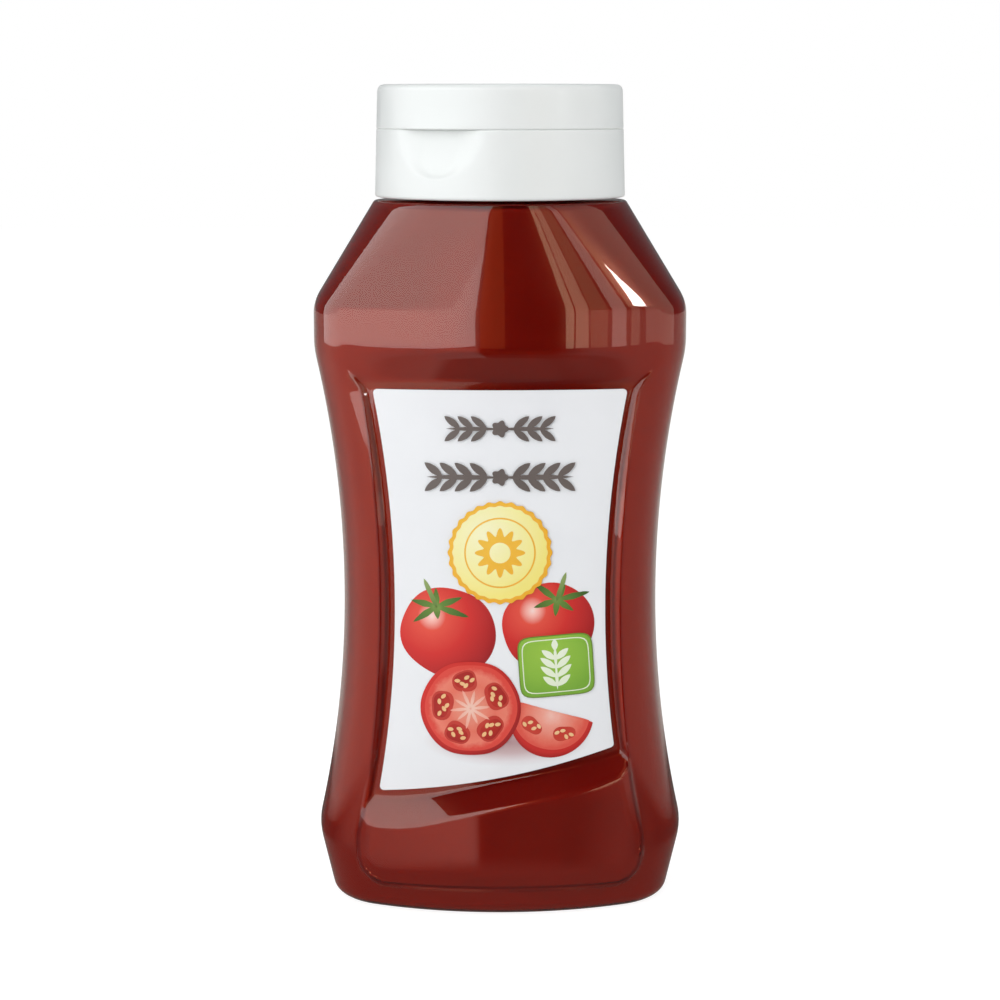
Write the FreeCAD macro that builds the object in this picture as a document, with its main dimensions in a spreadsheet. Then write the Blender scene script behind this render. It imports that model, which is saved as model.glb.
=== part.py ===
"""Squeeze bottle of ketchup with a shut flip-top cap, standing on its base.

Frame: millimetres, +Z up, origin at the centre of the base, front of the bottle towards -Y.
The body has one waist. Its front and back each have a sunk label panel, whose foot is a
slanted step, and a raised panel below it. A plain neck carries the cap.
"""
import FreeCAD, Part
import math
import os

import Sketcher
from FreeCAD import Placement, Rotation, Vector

# ---------------------------------------------------------------- driving dimensions (mm)
SIZES = {
    # body, seen from the front
    "body_width": 84.8,  # across the band, and across the bulge above the foot
    "waist_width": 72.1,
    "foot_width": 77.2,
    "foot_rise": 16.0,  # height of the widest line above the foot
    "band_bottom": 127.0,
    "band_top": 137.5,
    "ledge_level": 160.2,  # flat top of the shoulder, under the cap
    "ledge_radius": 28.5,
    # body, seen from the side
    "body_depth": 57.0,
    "rib_depth": 54.6,  # behind the label panels
    "bulge_depth": 55.4,
    "foot_depth": 52.8,
    # plan of the body
    "front_curve": 72.0,  # radius of the front and back faces
    "side_curve": 60.0,
    "corner_curve": 13.5,
    # softened edges that run round the body
    "soft_edge": 5.0,  # height over which two slopes blend
    "foot_round": 3.0,
    # wall and inside
    "wall": 1.0,
    "base_wall": 1.4,
    "base_dish": 2.2,  # rise of the dished base
    "base_ring": 6.5,  # width of the flat ring that it stands on
    "neck_radius": 19.0,
    "neck_height": 11.8,  # rim of the neck above the ledge
    "fill_height": 5.8,  # top of the ketchup above the ledge
    # sunk label panel
    "panel_curve": 130.0,
    "panel_depth": 46.4,  # front panel floor to back panel floor
    "panel_inset": 11.2,  # floor edge in from the body's outline
    "cove_height": 6.2,  # top of the panel's floor below the band
    "panel_slope_side": 1.2,  # how far the walls lean out for each mm of depth
    "panel_slope_top": 1.38,
    # slanted step at the foot of the panel, at three places across it
    "step_left": 25.2,
    "step_middle": 32.6,
    "step_right": 36.4,
    "step_drop_left": 20.0,  # how much lower the step runs one step_reach further out
    "step_drop_middle": 8.3,
    "step_drop_right": 9.9,
    "step_reach": 9.5,
    # raised panel over the foot
    "plate_curve": 85.0,
    "plate_inset": 9.6,  # its edge in from the body's outline
    "plate_bottom": 6.2,
    "plate_corner": 7.0,
    "plate_bevel": 0.8,
    # labels
    "label_thickness": 0.2,
    "label_margin": 1.3,  # label edge in from the edge of the panel floor
    "label_foot_margin": 1.0,
    "label_corner": 0.9,
    # cap
    "cap_gap": 0.8,  # skirt above the ledge
    "cap_height": 25.0,
    "cap_set_in": 0.2,  # skirt in from the ledge's edge
    "cap_draft": 0.7,  # how much smaller the cap's radius is at the top
    "lid_height": 9.8,
    "lid_round": 1.4,
    "cap_edge_round": 0.5,
    "cap_turn": -30.0,  # degrees from the front to the thumb lip, minus is to the left
    "seam_chamfer": 0.3,
    "scoop_width": 20.6,  # semi-axis of the scoop along the skirt
    "scoop_rise": 10.7,
    "scoop_reach": 4.0,
    "scoop_depth": 2.6,
    "lip_width": 13.4,
    "lip_rise": 5.5,
    "lip_reach": 8.4,
    "lip_proud": 0.6,
}

OVERCUT = 1.0  # mm that a cutting tool runs past the face that it cuts
TOUCH = 0.001  # mm within which two places count as the same
# Front, side and corner radii of the plan at the ledge, over the ledge's own radius. They are
# a little unlike each other, so that the plan keeps its four corners all the way up.
NEARLY_ROUND = (1.019, 1.071, 0.98)

DOC = FreeCAD.newDocument("ketchup_bottle")


def make_sheet():
    """Puts every driving dimension in a spreadsheet cell with an alias."""
    sheet = DOC.addObject("Spreadsheet::Sheet", "sizes")
    for row, (alias, value) in enumerate(SIZES.items(), start=1):
        sheet.set(f"A{row}", alias)
        sheet.set(f"B{row}", str(value))
        sheet.setAlias(f"B{row}", alias)
    DOC.recompute()
    return sheet


SHEET = make_sheet()


def size(alias):
    """The value of one driving dimension, as the sheet holds it."""
    return float(getattr(SHEET, alias))


def bind(obj, **expressions):
    """Binds properties of an object to expressions on the sheet, where __ stands for a dot."""
    for prop, expression in expressions.items():
        obj.setExpression(prop.replace("__", "."), expression)


def add_feature(name, shape):
    """Puts a computed shape into the document."""
    feature = DOC.addObject("Part::Feature", name)
    feature.Shape = shape
    feature.Placement = Placement(Vector(0, 0, 0), Rotation())
    return feature


def add_boolean(kind, name, base, tool):
    """A Part::Cut, Part::Fuse or Part::Common of two objects."""
    result = DOC.addObject(f"Part::{kind}", name)
    result.Base = base
    result.Tool = tool
    result.Label = name
    return result


def add_cylinder(name, radius, low, high):
    """An upright cylinder on the axis, its sizes given as expressions."""
    cylinder = DOC.addObject("Part::Cylinder", name)
    bind(cylinder, Radius=radius, Height=f"{high} - {low}", Placement__Base__z=low)
    return cylinder


# ---------------------------------------------------------------- profiles of the body
def line_through(z0, v0, z1, v1):
    """A straight profile as a function of height."""
    return lambda z: v0 + (v1 - v0) * (z - z0) / (z1 - z0)


def arc_through(z0, z1, v_end, v_middle):
    """A circular profile, v_end wide at both heights and v_middle half-way."""
    half = (z1 - z0) / 2.0
    sag = v_end - v_middle
    radius = (half * half + sag * sag) / (2.0 * sag)
    centre = (z0 + z1) / 2.0
    return lambda z: v_middle + radius - math.sqrt(radius * radius - (z - centre) ** 2)


def joined(pieces, breaks, blend):
    """One profile made of several, each change of slope blended over a height."""

    def slope(piece, z):
        return (piece(z + 0.01) - piece(z - 0.01)) / 0.02

    def value(z):
        for i, at in enumerate(breaks):
            low, high = at - blend / 2.0, at + blend / 2.0
            if low < z < high:
                below, above = pieces[i], pieces[i + 1]
                t = (z - low) / blend
                return (
                    (2 * t**3 - 3 * t**2 + 1) * below(low)
                    + (t**3 - 2 * t**2 + t) * blend * slope(below, low)
                    + (3 * t**2 - 2 * t**3) * above(high)
                    + (t**3 - t**2) * blend * slope(above, high)
                )
        return pieces[sum(1 for at in breaks if z >= at)](z)

    return value


def half_width_profile():
    """Half the width of the body at a height, before the foot is rounded."""
    body = size("body_width") / 2.0
    foot, rise = size("foot_width") / 2.0, size("foot_rise")
    low, high, ledge = size("band_bottom"), size("band_top"), size("ledge_level")
    pieces = [
        line_through(0.0, foot, rise, body),
        arc_through(rise, low, body, size("waist_width") / 2.0),
        lambda z: body,
        line_through(high, body, ledge, size("ledge_radius")),
    ]
    return joined(pieces, [rise, low, high], size("soft_edge"))


def half_depth_profile():
    """Half the depth of the body at a height, before the foot is rounded."""
    body, rib, bulge = (size(f"{part}_depth") / 2.0 for part in ("body", "rib", "bulge"))
    rise, low, ledge = size("foot_rise"), size("band_bottom"), size("ledge_level")
    panel_top = low - size("cove_height")
    pieces = [
        line_through(0.0, size("foot_depth") / 2.0, rise, bulge),
        line_through(rise, bulge, panel_top, rib),
        line_through(panel_top, rib, low, body),
        line_through(low, body, ledge, size("ledge_radius")),
    ]
    return joined(pieces, [rise, panel_top, low], size("soft_edge"))


HALF_WIDTH = half_width_profile()
HALF_DEPTH = half_depth_profile()
PANEL_TOP = size("band_bottom") - size("cove_height")


def foot_inset(z):
    """How far the rounded foot stands in from the profile at a height."""
    radius = size("foot_round")
    return radius - math.sqrt(radius * radius - max(0.0, radius - z) ** 2)


def plan_curves(z):
    """Front, side and corner radii at a height: they all become the ledge's circle at the top."""
    share = min(1.0, max(0.0, (z - size("band_top")) / (size("ledge_level") - size("band_top"))))
    flat = (size("front_curve"), size("side_curve"), size("corner_curve"))
    round_ones = [size("ledge_radius") * factor for factor in NEARLY_ROUND]
    return [a + (b - a) * share for a, b in zip(flat, round_ones)]


def quadrant(width, depth, front, side, corner):
    """Where the corner arc of a plan starts and ends, with its middle, in the quadrant x>0, y<0."""
    front_y, side_x = front - depth, width - side
    reach_front, reach_side = front - corner, side - corner
    # the corner's centre lies at a known distance from the centres of the two long arcs
    span = math.hypot(side_x, front_y)
    along = (reach_side**2 - reach_front**2 + span**2) / (2.0 * span)
    off = math.sqrt(reach_side**2 - along**2)
    ux, uy = -side_x / span, front_y / span
    centre = Vector(side_x + ux * along + uy * off, uy * along - ux * off, 0)
    to_front = (centre - Vector(0, front_y, 0)).normalize()
    to_side = (centre - Vector(side_x, 0, 0)).normalize()
    middle = (to_front + to_side).normalize()
    return [centre + direction * corner for direction in (to_front, middle, to_side)]


def plan_wire(z, inset=0.0):
    """The closed outline of the body at a height, in from its outer face by inset."""
    front, side, corner = (radius - inset for radius in plan_curves(z))
    shrink = inset + foot_inset(z)
    width, depth = HALF_WIDTH(z) - shrink, HALF_DEPTH(z) - shrink
    start, middle, end = quadrant(width, depth, front, side, corner)

    def at(point, sx, sy):
        return Vector(point.x * sx, point.y * sy, z)

    edges = []
    for sx, sy in ((1, 1), (1, -1), (-1, -1), (-1, 1)):
        forward = sx * sy > 0
        a, b = (start, end) if forward else (end, start)
        edges.append(Part.Arc(at(a, sx, sy), at(middle, sx, sy), at(b, sx, sy)).toShape())
        if forward:
            edges.append(Part.Arc(at(end, sx, sy), Vector(sx * width, 0, z), at(end, sx, -sy)).toShape())
        else:
            edges.append(Part.Arc(at(start, sx, sy), Vector(0, -sy * depth, z), at(start, -sx, sy)).toShape())
    return Part.Wire(edges)


def body_zones(bottom, top):
    """The stacked lofts of the body: the heights of each one's sections and whether it is ruled."""
    foot, bend = size("foot_round"), size("soft_edge") / 2.0
    rise, low, high = size("foot_rise"), size("band_bottom"), size("band_top")
    panel_top = low - size("cove_height")

    def spread(start, end, count):
        return [start + (end - start) * i / count for i in range(count + 1)]

    foot_levels = [foot * (1.0 - math.cos(angle)) for angle in spread(0.0, math.pi / 2.0, 5)]
    foot_levels = [bottom] + [z for z in foot_levels if z > bottom + TOUCH]
    return [
        (foot_levels, True),
        ([foot, rise - bend], True),
        (spread(rise - bend, rise + bend, 2), False),
        (spread(rise + bend, panel_top - bend, 7), False),
        (spread(panel_top - bend, low + bend, 4), False),
        ([low + bend, high - bend], True),
        (spread(high - bend, high + bend, 2), False),
        ([high + bend, top], True),
    ]


def body_loft(name, bottom, top, inset):
    """The body between two heights, in from its outer face by inset."""
    faces = []
    for levels, ruled in body_zones(bottom, top):
        wires = [plan_wire(z, inset) for z in levels]
        faces += Part.makeLoft(wires, False, ruled).Faces
    faces += [Part.Face(plan_wire(z, inset)) for z in (bottom, top)]
    shell = Part.Shell(faces)
    shell.sewShape()
    solid = Part.Solid(shell)
    if solid.Volume < 0.0:
        solid.reverse()
    return add_feature(name, solid)


# ---------------------------------------------------------------- label panels and raised panels
def three(name):
    """A size that is given at the left, in the middle and at the right."""
    return [size(f"{name}_{part}") for part in ("left", "middle", "right")]


def outline(inset, top, foot, y):
    """A four-sided outline in a plane of constant y that follows the waist on both sides."""
    left, middle, right = foot
    waist = (size("foot_rise") + size("band_bottom")) / 2.0

    def side(sign, z):
        return Vector(sign * (HALF_WIDTH(z) - inset), y, z)

    edges = [
        Part.Arc(side(-1, left), side(-1, waist), side(-1, top)).toShape(),
        Part.makeLine(side(-1, top), side(1, top)),
        Part.Arc(side(1, top), side(1, waist), side(1, right)).toShape(),
        Part.Arc(side(1, right), Vector(0, y, middle), side(-1, left)).toShape(),
    ]
    return Part.Wire(edges)


def front_cylinder(half_depth, radius):
    """An upright cylinder whose front line stands at half_depth."""
    height = size("ledge_level")
    return Part.makeCylinder(radius, height, Vector(0, radius - half_depth, 0))


def floor_depth(x):
    """How far in front of the axis the floor of the front panel lies, at a place across it."""
    radius = size("panel_curve")
    return size("panel_depth") / 2.0 - radius + math.sqrt(radius * radius - x * x)


def step_levels(depths, lift):
    """Heights of the step at its left, middle and right, each at its own depth."""
    edge, reach = floor_depth(size("waist_width") / 2.0 - size("panel_inset")), size("step_reach")
    levels = []
    for step, drop, depth in zip(three("step"), three("step_drop"), depths):
        steepness = drop / reach
        levels.append(step - steepness * (depth - edge) + lift * math.hypot(1.0, steepness))
    return levels


def panel_tool(grow):
    """What is cut away for the front label panel, grown by the wall for the inside."""
    floor, inset = size("panel_depth") / 2.0, size("panel_inset")
    edge = floor_depth(size("waist_width") / 2.0 - inset)
    side, top = size("panel_slope_side"), size("panel_slope_top")

    def wire(depth):
        return outline(
            inset - side * (depth - edge) - grow * math.hypot(1.0, side),
            PANEL_TOP + top * (depth - floor) + grow * math.hypot(1.0, top),
            step_levels([depth] * 3, -grow),
            -depth,
        )

    near, far = edge - grow - OVERCUT, size("body_depth") / 2.0 + OVERCUT
    block = Part.makeLoft([wire(near), wire(far)], True, True)
    return block.cut(front_cylinder(floor - grow, size("panel_curve") - grow))


def plate_solid(inset):
    """The raised panel over the foot, its face in from the outer one by inset."""
    low = size("plate_bottom") + inset
    edge = size("plate_inset") + inset
    turn = size("plate_corner") - inset
    cut = turn * (1.0 - math.sqrt(0.5))
    side = HALF_WIDTH(size("foot_rise")) - edge

    def corner(sign):
        ends = [Vector(sign * side, 0, low + turn), Vector(sign * (side - turn), 0, low)]
        return ends, Vector(sign * (side - cut), 0, low + cut)

    (left_up, left_low), left_middle = corner(-1)
    (right_up, right_low), right_middle = corner(1)
    left_level, right_level = size("step_left"), size("step_right")
    left_top = Vector(-HALF_WIDTH(left_level) + edge, 0, left_level)
    right_top = Vector(HALF_WIDTH(right_level) - edge, 0, right_level)
    wire = Part.Wire(
        [
            Part.makeLine(left_top, left_up),
            Part.Arc(left_up, left_middle, left_low).toShape(),
            Part.makeLine(left_low, right_low),
            Part.Arc(right_low, right_middle, right_up).toShape(),
            Part.makeLine(right_up, right_top),
            Part.makeLine(right_top, left_top),
        ]
    )
    block = Part.Face(wire).extrude(Vector(0, -size("body_depth"), 0))
    block = block.common(front_cylinder(size("body_depth") / 2.0 - inset, size("plate_curve") - inset))
    rim = [line for line in block.Edges if line.BoundBox.YMax < -TOUCH]
    return block.makeChamfer(size("plate_bevel"), rim)


def both_sides(name, shape):
    """A shape at the front and its copy turned half round to the back, as one object."""
    back = shape.copy()
    back.rotate(Vector(0, 0, 0), Vector(0, 0, 1), 180.0)
    return add_feature(name, Part.makeCompound([shape, back]))


def runs_front_to_back(line):
    """Whether a straight edge lies along the depth."""
    start, end = line.Vertexes[0].Point, line.Vertexes[-1].Point
    return math.hypot(end.x - start.x, end.z - start.z) < TOUCH


def label_solid():
    """The front label: a thin sheet on the floor of the front panel."""
    floor, radius = size("panel_depth") / 2.0, size("panel_curve")
    proud = floor + size("label_thickness")
    margin, inset = size("label_margin"), size("panel_inset")
    half = HALF_WIDTH(PANEL_TOP) - inset - margin
    foot = step_levels([floor_depth(x) for x in (-half, 0.0, half)], 0.0)
    foot = [z + size("label_foot_margin") for z in foot]
    wire = outline(inset + margin, PANEL_TOP - margin, foot, 0.0)
    block = Part.Face(wire).extrude(Vector(0, -size("body_depth"), 0))
    corners = [line for line in block.Edges if runs_front_to_back(line)]
    block = block.makeFillet(size("label_corner"), corners)
    sheet = front_cylinder(proud, radius + size("label_thickness")).cut(front_cylinder(floor, radius))
    return block.common(sheet)


# ---------------------------------------------------------------- cap
def revolved_body(name, points):
    """A PartDesign body turned from a closed outline, whose corners are pairs of expressions."""
    body = DOC.addObject("PartDesign::Body", name)
    sketch = body.newObject("Sketcher::SketchObject", f"{name}_outline")
    plane = next(item for item in body.Origin.OriginFeatures if item.Role == "XZ_Plane")
    sketch.AttachmentSupport = [(plane, "")]
    sketch.MapMode = "FlatFace"
    values = []
    for expressions in points:
        values.append([float(sketch.evalExpression(text)) for text in expressions])
    count = len(points)
    for i, (x, z) in enumerate(values):
        next_x, next_z = values[(i + 1) % count]
        sketch.addGeometry(Part.LineSegment(Vector(x, z, 0), Vector(next_x, next_z, 0)), False)
    for i, (across, up) in enumerate(points):
        sketch.addConstraint(Sketcher.Constraint("Coincident", i, 2, (i + 1) % count, 1))
        if across == "0":
            sketch.addConstraint(Sketcher.Constraint("PointOnObject", i, 1, -2))
        else:
            at = sketch.addConstraint(Sketcher.Constraint("DistanceX", -1, 1, i, 1, values[i][0]))
            sketch.setExpression(f"Constraints[{at}]", across)
        at = sketch.addConstraint(Sketcher.Constraint("DistanceY", -1, 1, i, 1, values[i][1]))
        sketch.setExpression(f"Constraints[{at}]", up)
    turn = body.newObject("PartDesign::Revolution", f"{name}_turned")
    turn.Profile = sketch
    turn.ReferenceAxis = (sketch, ["V_Axis"])
    turn.Angle = 360.0
    body.Tip = turn
    DOC.recompute()
    return body


def edges_at(shape, level, radius):
    """Names of the round edges at a height and radius."""
    return [
        f"Edge{i}"
        for i, edge in enumerate(shape.Edges, start=1)
        if edge.Curve.TypeId == "Part::GeomCircle"
        and abs(edge.Curve.Center.z - level) < TOUCH
        and abs(edge.Curve.Radius - radius) < TOUCH
    ]


def dress(body, kind, name, prop, alias, level, radius):
    """A fillet or chamfer of a named size on the round edge at a height and radius."""
    tip = body.Tip
    at = [float(body.evalExpression(text)) for text in (level, radius)]
    feature = body.newObject(f"PartDesign::{kind}", name)
    feature.Base = (tip, edges_at(tip.Shape, *at))
    feature.setExpression(prop, f"sizes.{alias}")
    body.Tip = feature
    DOC.recompute()


def add_ellipsoid(name, reach, width, rise, centre):
    """An ellipsoid on the seam, its first axis towards the thumb lip, its centre off the axis."""
    shape = DOC.addObject("Part::Ellipsoid", name)
    bind(
        shape,
        Radius1=rise,
        Radius2=width,
        Radius3=reach,
        Placement__Base__x=f"({centre}) * sin(sizes.cap_turn)",
        Placement__Base__y=f"-({centre}) * cos(sizes.cap_turn)",
        Placement__Base__z=SEAM,
        Placement__Rotation__Angle="sizes.cap_turn",
    )
    return shape


SKIRT = "(sizes.ledge_level + sizes.cap_gap)"
CROWN = f"({SKIRT} + sizes.cap_height)"
SEAM = f"({CROWN} - sizes.lid_height)"
SEAM_SHARE = "(1 - sizes.lid_height / sizes.cap_height)"
SKIRT_RADIUS = "(sizes.ledge_radius - sizes.cap_set_in)"
CROWN_RADIUS = f"({SKIRT_RADIUS} - sizes.cap_draft)"
SEAM_RADIUS = f"({SKIRT_RADIUS} - sizes.cap_draft * {SEAM_SHARE})"
NECK_TOP = "(sizes.ledge_level + sizes.neck_height)"
FILL_TOP = "(sizes.ledge_level + sizes.fill_height)"


def make_cap_base():
    """The lower part of the cap: a skirt round the neck, with the scoop for the thumb."""
    body = revolved_body(
        "cap_base_turned",
        [
            ("sizes.neck_radius", SKIRT),
            (SKIRT_RADIUS, SKIRT),
            (SEAM_RADIUS, SEAM),
            ("0", SEAM),
            ("0", NECK_TOP),
            ("sizes.neck_radius", NECK_TOP),
        ],
    )
    dress(body, "Fillet", "skirt_round", "Radius", "cap_edge_round", SKIRT, SKIRT_RADIUS)
    dress(body, "Chamfer", "base_seam", "Size", "seam_chamfer", SEAM, SEAM_RADIUS)
    scoop = add_ellipsoid(
        "scoop",
        "sizes.scoop_reach",
        "sizes.scoop_width",
        "sizes.scoop_rise",
        f"{SEAM_RADIUS} - sizes.scoop_depth + sizes.scoop_reach",
    )
    return add_boolean("Cut", "cap_base", body, scoop)


def make_cap_lid():
    """The lid of the cap, shut, with its lip over the scoop."""
    body = revolved_body(
        "cap_lid_turned",
        [("0", SEAM), (SEAM_RADIUS, SEAM), (CROWN_RADIUS, CROWN), ("0", CROWN)],
    )
    dress(body, "Fillet", "crown_round", "Radius", "lid_round", CROWN, CROWN_RADIUS)
    dress(body, "Chamfer", "lid_seam", "Size", "seam_chamfer", SEAM, SEAM_RADIUS)
    lip = add_ellipsoid(
        "lip",
        "sizes.lip_reach",
        "sizes.lip_width",
        "sizes.lip_rise",
        f"{SEAM_RADIUS} + sizes.lip_proud - sizes.lip_reach",
    )
    lip.Angle1 = 0.0
    return add_boolean("Fuse", "cap_lid", body, lip)


# ---------------------------------------------------------------- body and filling
def make_body():
    """The bottle's wall and the ketchup in it, cut from the same inside so that they meet."""
    wall, base_wall = size("wall"), size("base_wall")
    skin = body_loft("skin", 0.0, size("ledge_level"), 0.0)
    core = body_loft("core", base_wall, size("ledge_level") - wall, wall)
    plates = both_sides("plates", plate_solid(0.0))
    plates_inside = both_sides("plates_inside", plate_solid(wall))
    panels = both_sides("panels", panel_tool(0.0))
    panels_inside = both_sides("panels_inside", panel_tool(wall))
    dish = DOC.addObject("Part::Ellipsoid", "dish")
    bind(
        dish,
        Radius1="sizes.base_dish",
        Radius2="sizes.foot_width / 2 - sizes.base_ring",
        Radius3="sizes.foot_depth / 2 - sizes.base_ring",
    )
    dish_inside = DOC.addObject("Part::Ellipsoid", "dish_inside")
    bind(
        dish_inside,
        Radius1="sizes.base_dish + sizes.base_wall",
        Radius2="sizes.foot_width / 2 - sizes.base_ring + sizes.base_wall",
        Radius3="sizes.foot_depth / 2 - sizes.base_ring + sizes.base_wall",
    )
    neck = add_cylinder("neck", "sizes.neck_radius", "(sizes.ledge_level - sizes.wall / 2)", NECK_TOP)
    inner_radius, bore_low = "sizes.neck_radius - sizes.wall", "(sizes.ledge_level - 2 * sizes.wall)"
    bore = add_cylinder("bore", inner_radius, bore_low, NECK_TOP)
    fill_top = add_cylinder("fill_top", inner_radius, bore_low, FILL_TOP)
    inside = add_boolean("Fuse", "inside_plain", core, plates_inside)
    inside = add_boolean("Cut", "inside_panelled", inside, panels_inside)
    inside = add_boolean("Cut", "inside", inside, dish_inside)
    outside = add_boolean("Fuse", "outside_plain", skin, plates)
    outside = add_boolean("Cut", "outside_panelled", outside, panels)
    outside = add_boolean("Cut", "outside_dished", outside, dish)
    hollowed = add_boolean("Cut", "hollowed", outside, inside)
    necked = add_boolean("Fuse", "necked", hollowed, neck)
    bottle = add_boolean("Cut", "bottle", necked, bore)
    ketchup = add_boolean("Fuse", "ketchup", inside, fill_top)
    return [bottle, ketchup]


def make_labels():
    """The front label and its like on the back."""
    front = add_feature("label_front", label_solid())
    back = add_feature("label_back", front.Shape)
    back.Placement = Placement(Vector(0, 0, 0), Rotation(Vector(0, 0, 1), 180.0))
    return [front, back]


def check_document():
    """Stops with a message if any object of the document failed."""
    for item in DOC.Objects:
        if "Invalid" in item.State or "Error" in item.State:
            raise RuntimeError(f"{item.Name} failed: {item.State}")


def write_parts(parts):
    """Checks each sub-part's solid and writes it to a file named for it."""
    os.makedirs("parts", exist_ok=True)
    for part in parts:
        shape = part.Shape
        if shape.isNull() or not shape.isValid() or len(shape.Solids) != 1:
            raise RuntimeError(f"{part.Label} is not one valid solid: {len(shape.Solids)}")
        shape.exportStep(os.path.join("parts", f"{part.Label}.step"))
        box = shape.BoundBox
        print(f"{part.Label}: {shape.Volume / 1000.0:.2f} ml, z {box.ZMin:.2f} to {box.ZMax:.2f}")


PARTS = make_body() + make_labels() + [make_cap_base(), make_cap_lid()]
DOC.recompute()
check_document()
write_parts(PARTS)
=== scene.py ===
"""Looks of a shut squeeze bottle of ketchup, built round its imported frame.

The bottle's wall, its filling and the cap are modelled here with their softened edges, and the
labels keep their nodes and carry a print of flat shapes. Sizes of the form and of the print are in
millimetres, in the frame's own axes, and every finished mesh is in metres, like the studio.
"""
from __future__ import annotations

import logging
import math
from dataclasses import dataclass
from enum import Enum
from typing import Callable, Sequence

import bpy
import numpy as np
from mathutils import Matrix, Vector


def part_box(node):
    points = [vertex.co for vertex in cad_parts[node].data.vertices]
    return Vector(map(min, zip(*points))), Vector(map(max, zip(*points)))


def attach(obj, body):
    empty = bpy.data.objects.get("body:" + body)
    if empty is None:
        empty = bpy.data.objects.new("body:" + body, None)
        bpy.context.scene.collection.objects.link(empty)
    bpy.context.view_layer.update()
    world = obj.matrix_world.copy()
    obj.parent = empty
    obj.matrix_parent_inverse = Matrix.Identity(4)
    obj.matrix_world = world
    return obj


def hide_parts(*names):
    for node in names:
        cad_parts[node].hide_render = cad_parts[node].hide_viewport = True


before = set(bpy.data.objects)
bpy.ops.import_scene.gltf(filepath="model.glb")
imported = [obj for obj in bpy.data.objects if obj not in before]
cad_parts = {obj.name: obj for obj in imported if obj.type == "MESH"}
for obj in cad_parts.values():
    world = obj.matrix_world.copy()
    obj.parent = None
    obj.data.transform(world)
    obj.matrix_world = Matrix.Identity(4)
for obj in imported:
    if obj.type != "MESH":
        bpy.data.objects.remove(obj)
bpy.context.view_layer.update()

LOG = logging.getLogger("ketchup_bottle")
MM = 0.001
WELD = 1e-6  # metres within which points are merged
BODY = "root"
FAR = 1000.0  # a reach so long that places along it don't count

Pair = tuple[float, float]
Triple = tuple[float, float, float]
Colour = Triple
Stops = Sequence[tuple[float, Colour]]
Source = tuple[bpy.types.Node, "str | int"]  # a node and one of its outputs


# ---------------------------------------------------------------- small tools
def node_box(node: str) -> tuple[np.ndarray, np.ndarray]:
    """Lowest and highest corner of a node, in millimetres."""
    low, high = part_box(node)
    return np.array(low) / MM, np.array(high) / MM


def smooth_max(a: np.ndarray, b: np.ndarray, blend: float) -> np.ndarray:
    """The larger of two heights, with the crease between them rounded over a blend.

    Args:
        a: First heights.
        b: Second heights.
        blend: How near the two are when the rounding starts.

    Returns:
        The rounded larger heights.
    """
    near = np.maximum(blend - np.abs(a - b), 0.0) / blend
    return np.maximum(a, b) + near * near * blend / 4.0


def smooth_min(a: np.ndarray, b: np.ndarray, blend: float) -> np.ndarray:
    """The smaller of two heights, with the edge between them rounded over a blend."""
    return -smooth_max(-a, -b, blend)


def smooth_step(low: float, high: float, value: np.ndarray) -> np.ndarray:
    """Rises smoothly from 0 to 1 as a value goes from low to high."""
    share = np.clip((value - low) / (high - low), 0.0, 1.0)
    return share * share * (3.0 - 2.0 * share)


def spaced(start: float, end: float, step: float) -> list[float]:
    """Evenly spaced values from start up to, but not including, end."""
    count = max(1, round(abs(end - start) / step))
    return [start + (end - start) * i / count for i in range(count)]


def deselect() -> None:
    """Clears the selection, so that an operator acts only on what is made next."""
    bpy.ops.object.select_all(action="DESELECT")


def finish_piece(piece: bpy.types.Object, slot: str, *nodes: str) -> None:
    """Hangs a finished piece on the body, and hides the nodes that it stands for.

    Args:
        piece: The finished object, at the origin.
        slot: Name of a material slot; not used.
        nodes: Names of the nodes that it replaces.
    """
    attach(piece, BODY)
    if nodes:
        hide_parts(*nodes)
    LOG.info("%s: %d faces", piece.name, len(piece.data.polygons))


def wrap_rings(name: str, rings: Sequence[np.ndarray]) -> bpy.types.Object:
    """A closed skin through a stack of rings with equally many points.

    A grid is added, its rows are laid along the rings, and its seam and poles are merged.

    Args:
        name: Name of the new object.
        rings: Arrays of points in millimetres, one array for each row.

    Returns:
        The new object, smooth shaded, its faces outwards.
    """
    rows, columns = len(rings), len(rings[0])
    deselect()
    bpy.ops.mesh.primitive_grid_add(x_subdivisions=columns, y_subdivisions=rows - 1, size=1.0)
    piece = bpy.context.object
    piece.name = name
    flat = np.empty(len(piece.data.vertices) * 3)
    piece.data.vertices.foreach_get("co", flat)
    places = flat.reshape(-1, 3)
    across = np.rint((places[:, 0] + 0.5) * columns).astype(int) % columns
    up = np.rint((places[:, 1] + 0.5) * (rows - 1)).astype(int)
    wrapped = np.array(rings)[up, across] * MM
    piece.data.vertices.foreach_set("co", wrapped.ravel())
    bpy.ops.object.mode_set(mode="EDIT")
    bpy.ops.mesh.select_all(action="SELECT")
    bpy.ops.mesh.remove_doubles(threshold=WELD)
    bpy.ops.mesh.normals_make_consistent(inside=False)
    bpy.ops.object.mode_set(mode="OBJECT")
    bpy.ops.object.shade_smooth()
    return piece


# ---------------------------------------------------------------- shape of the bottle
# ring heights between which the rings bend, and those that follow the step's two edges
STEP_BAND = (10.0, 22.0, 34.0, 60.0)


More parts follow.
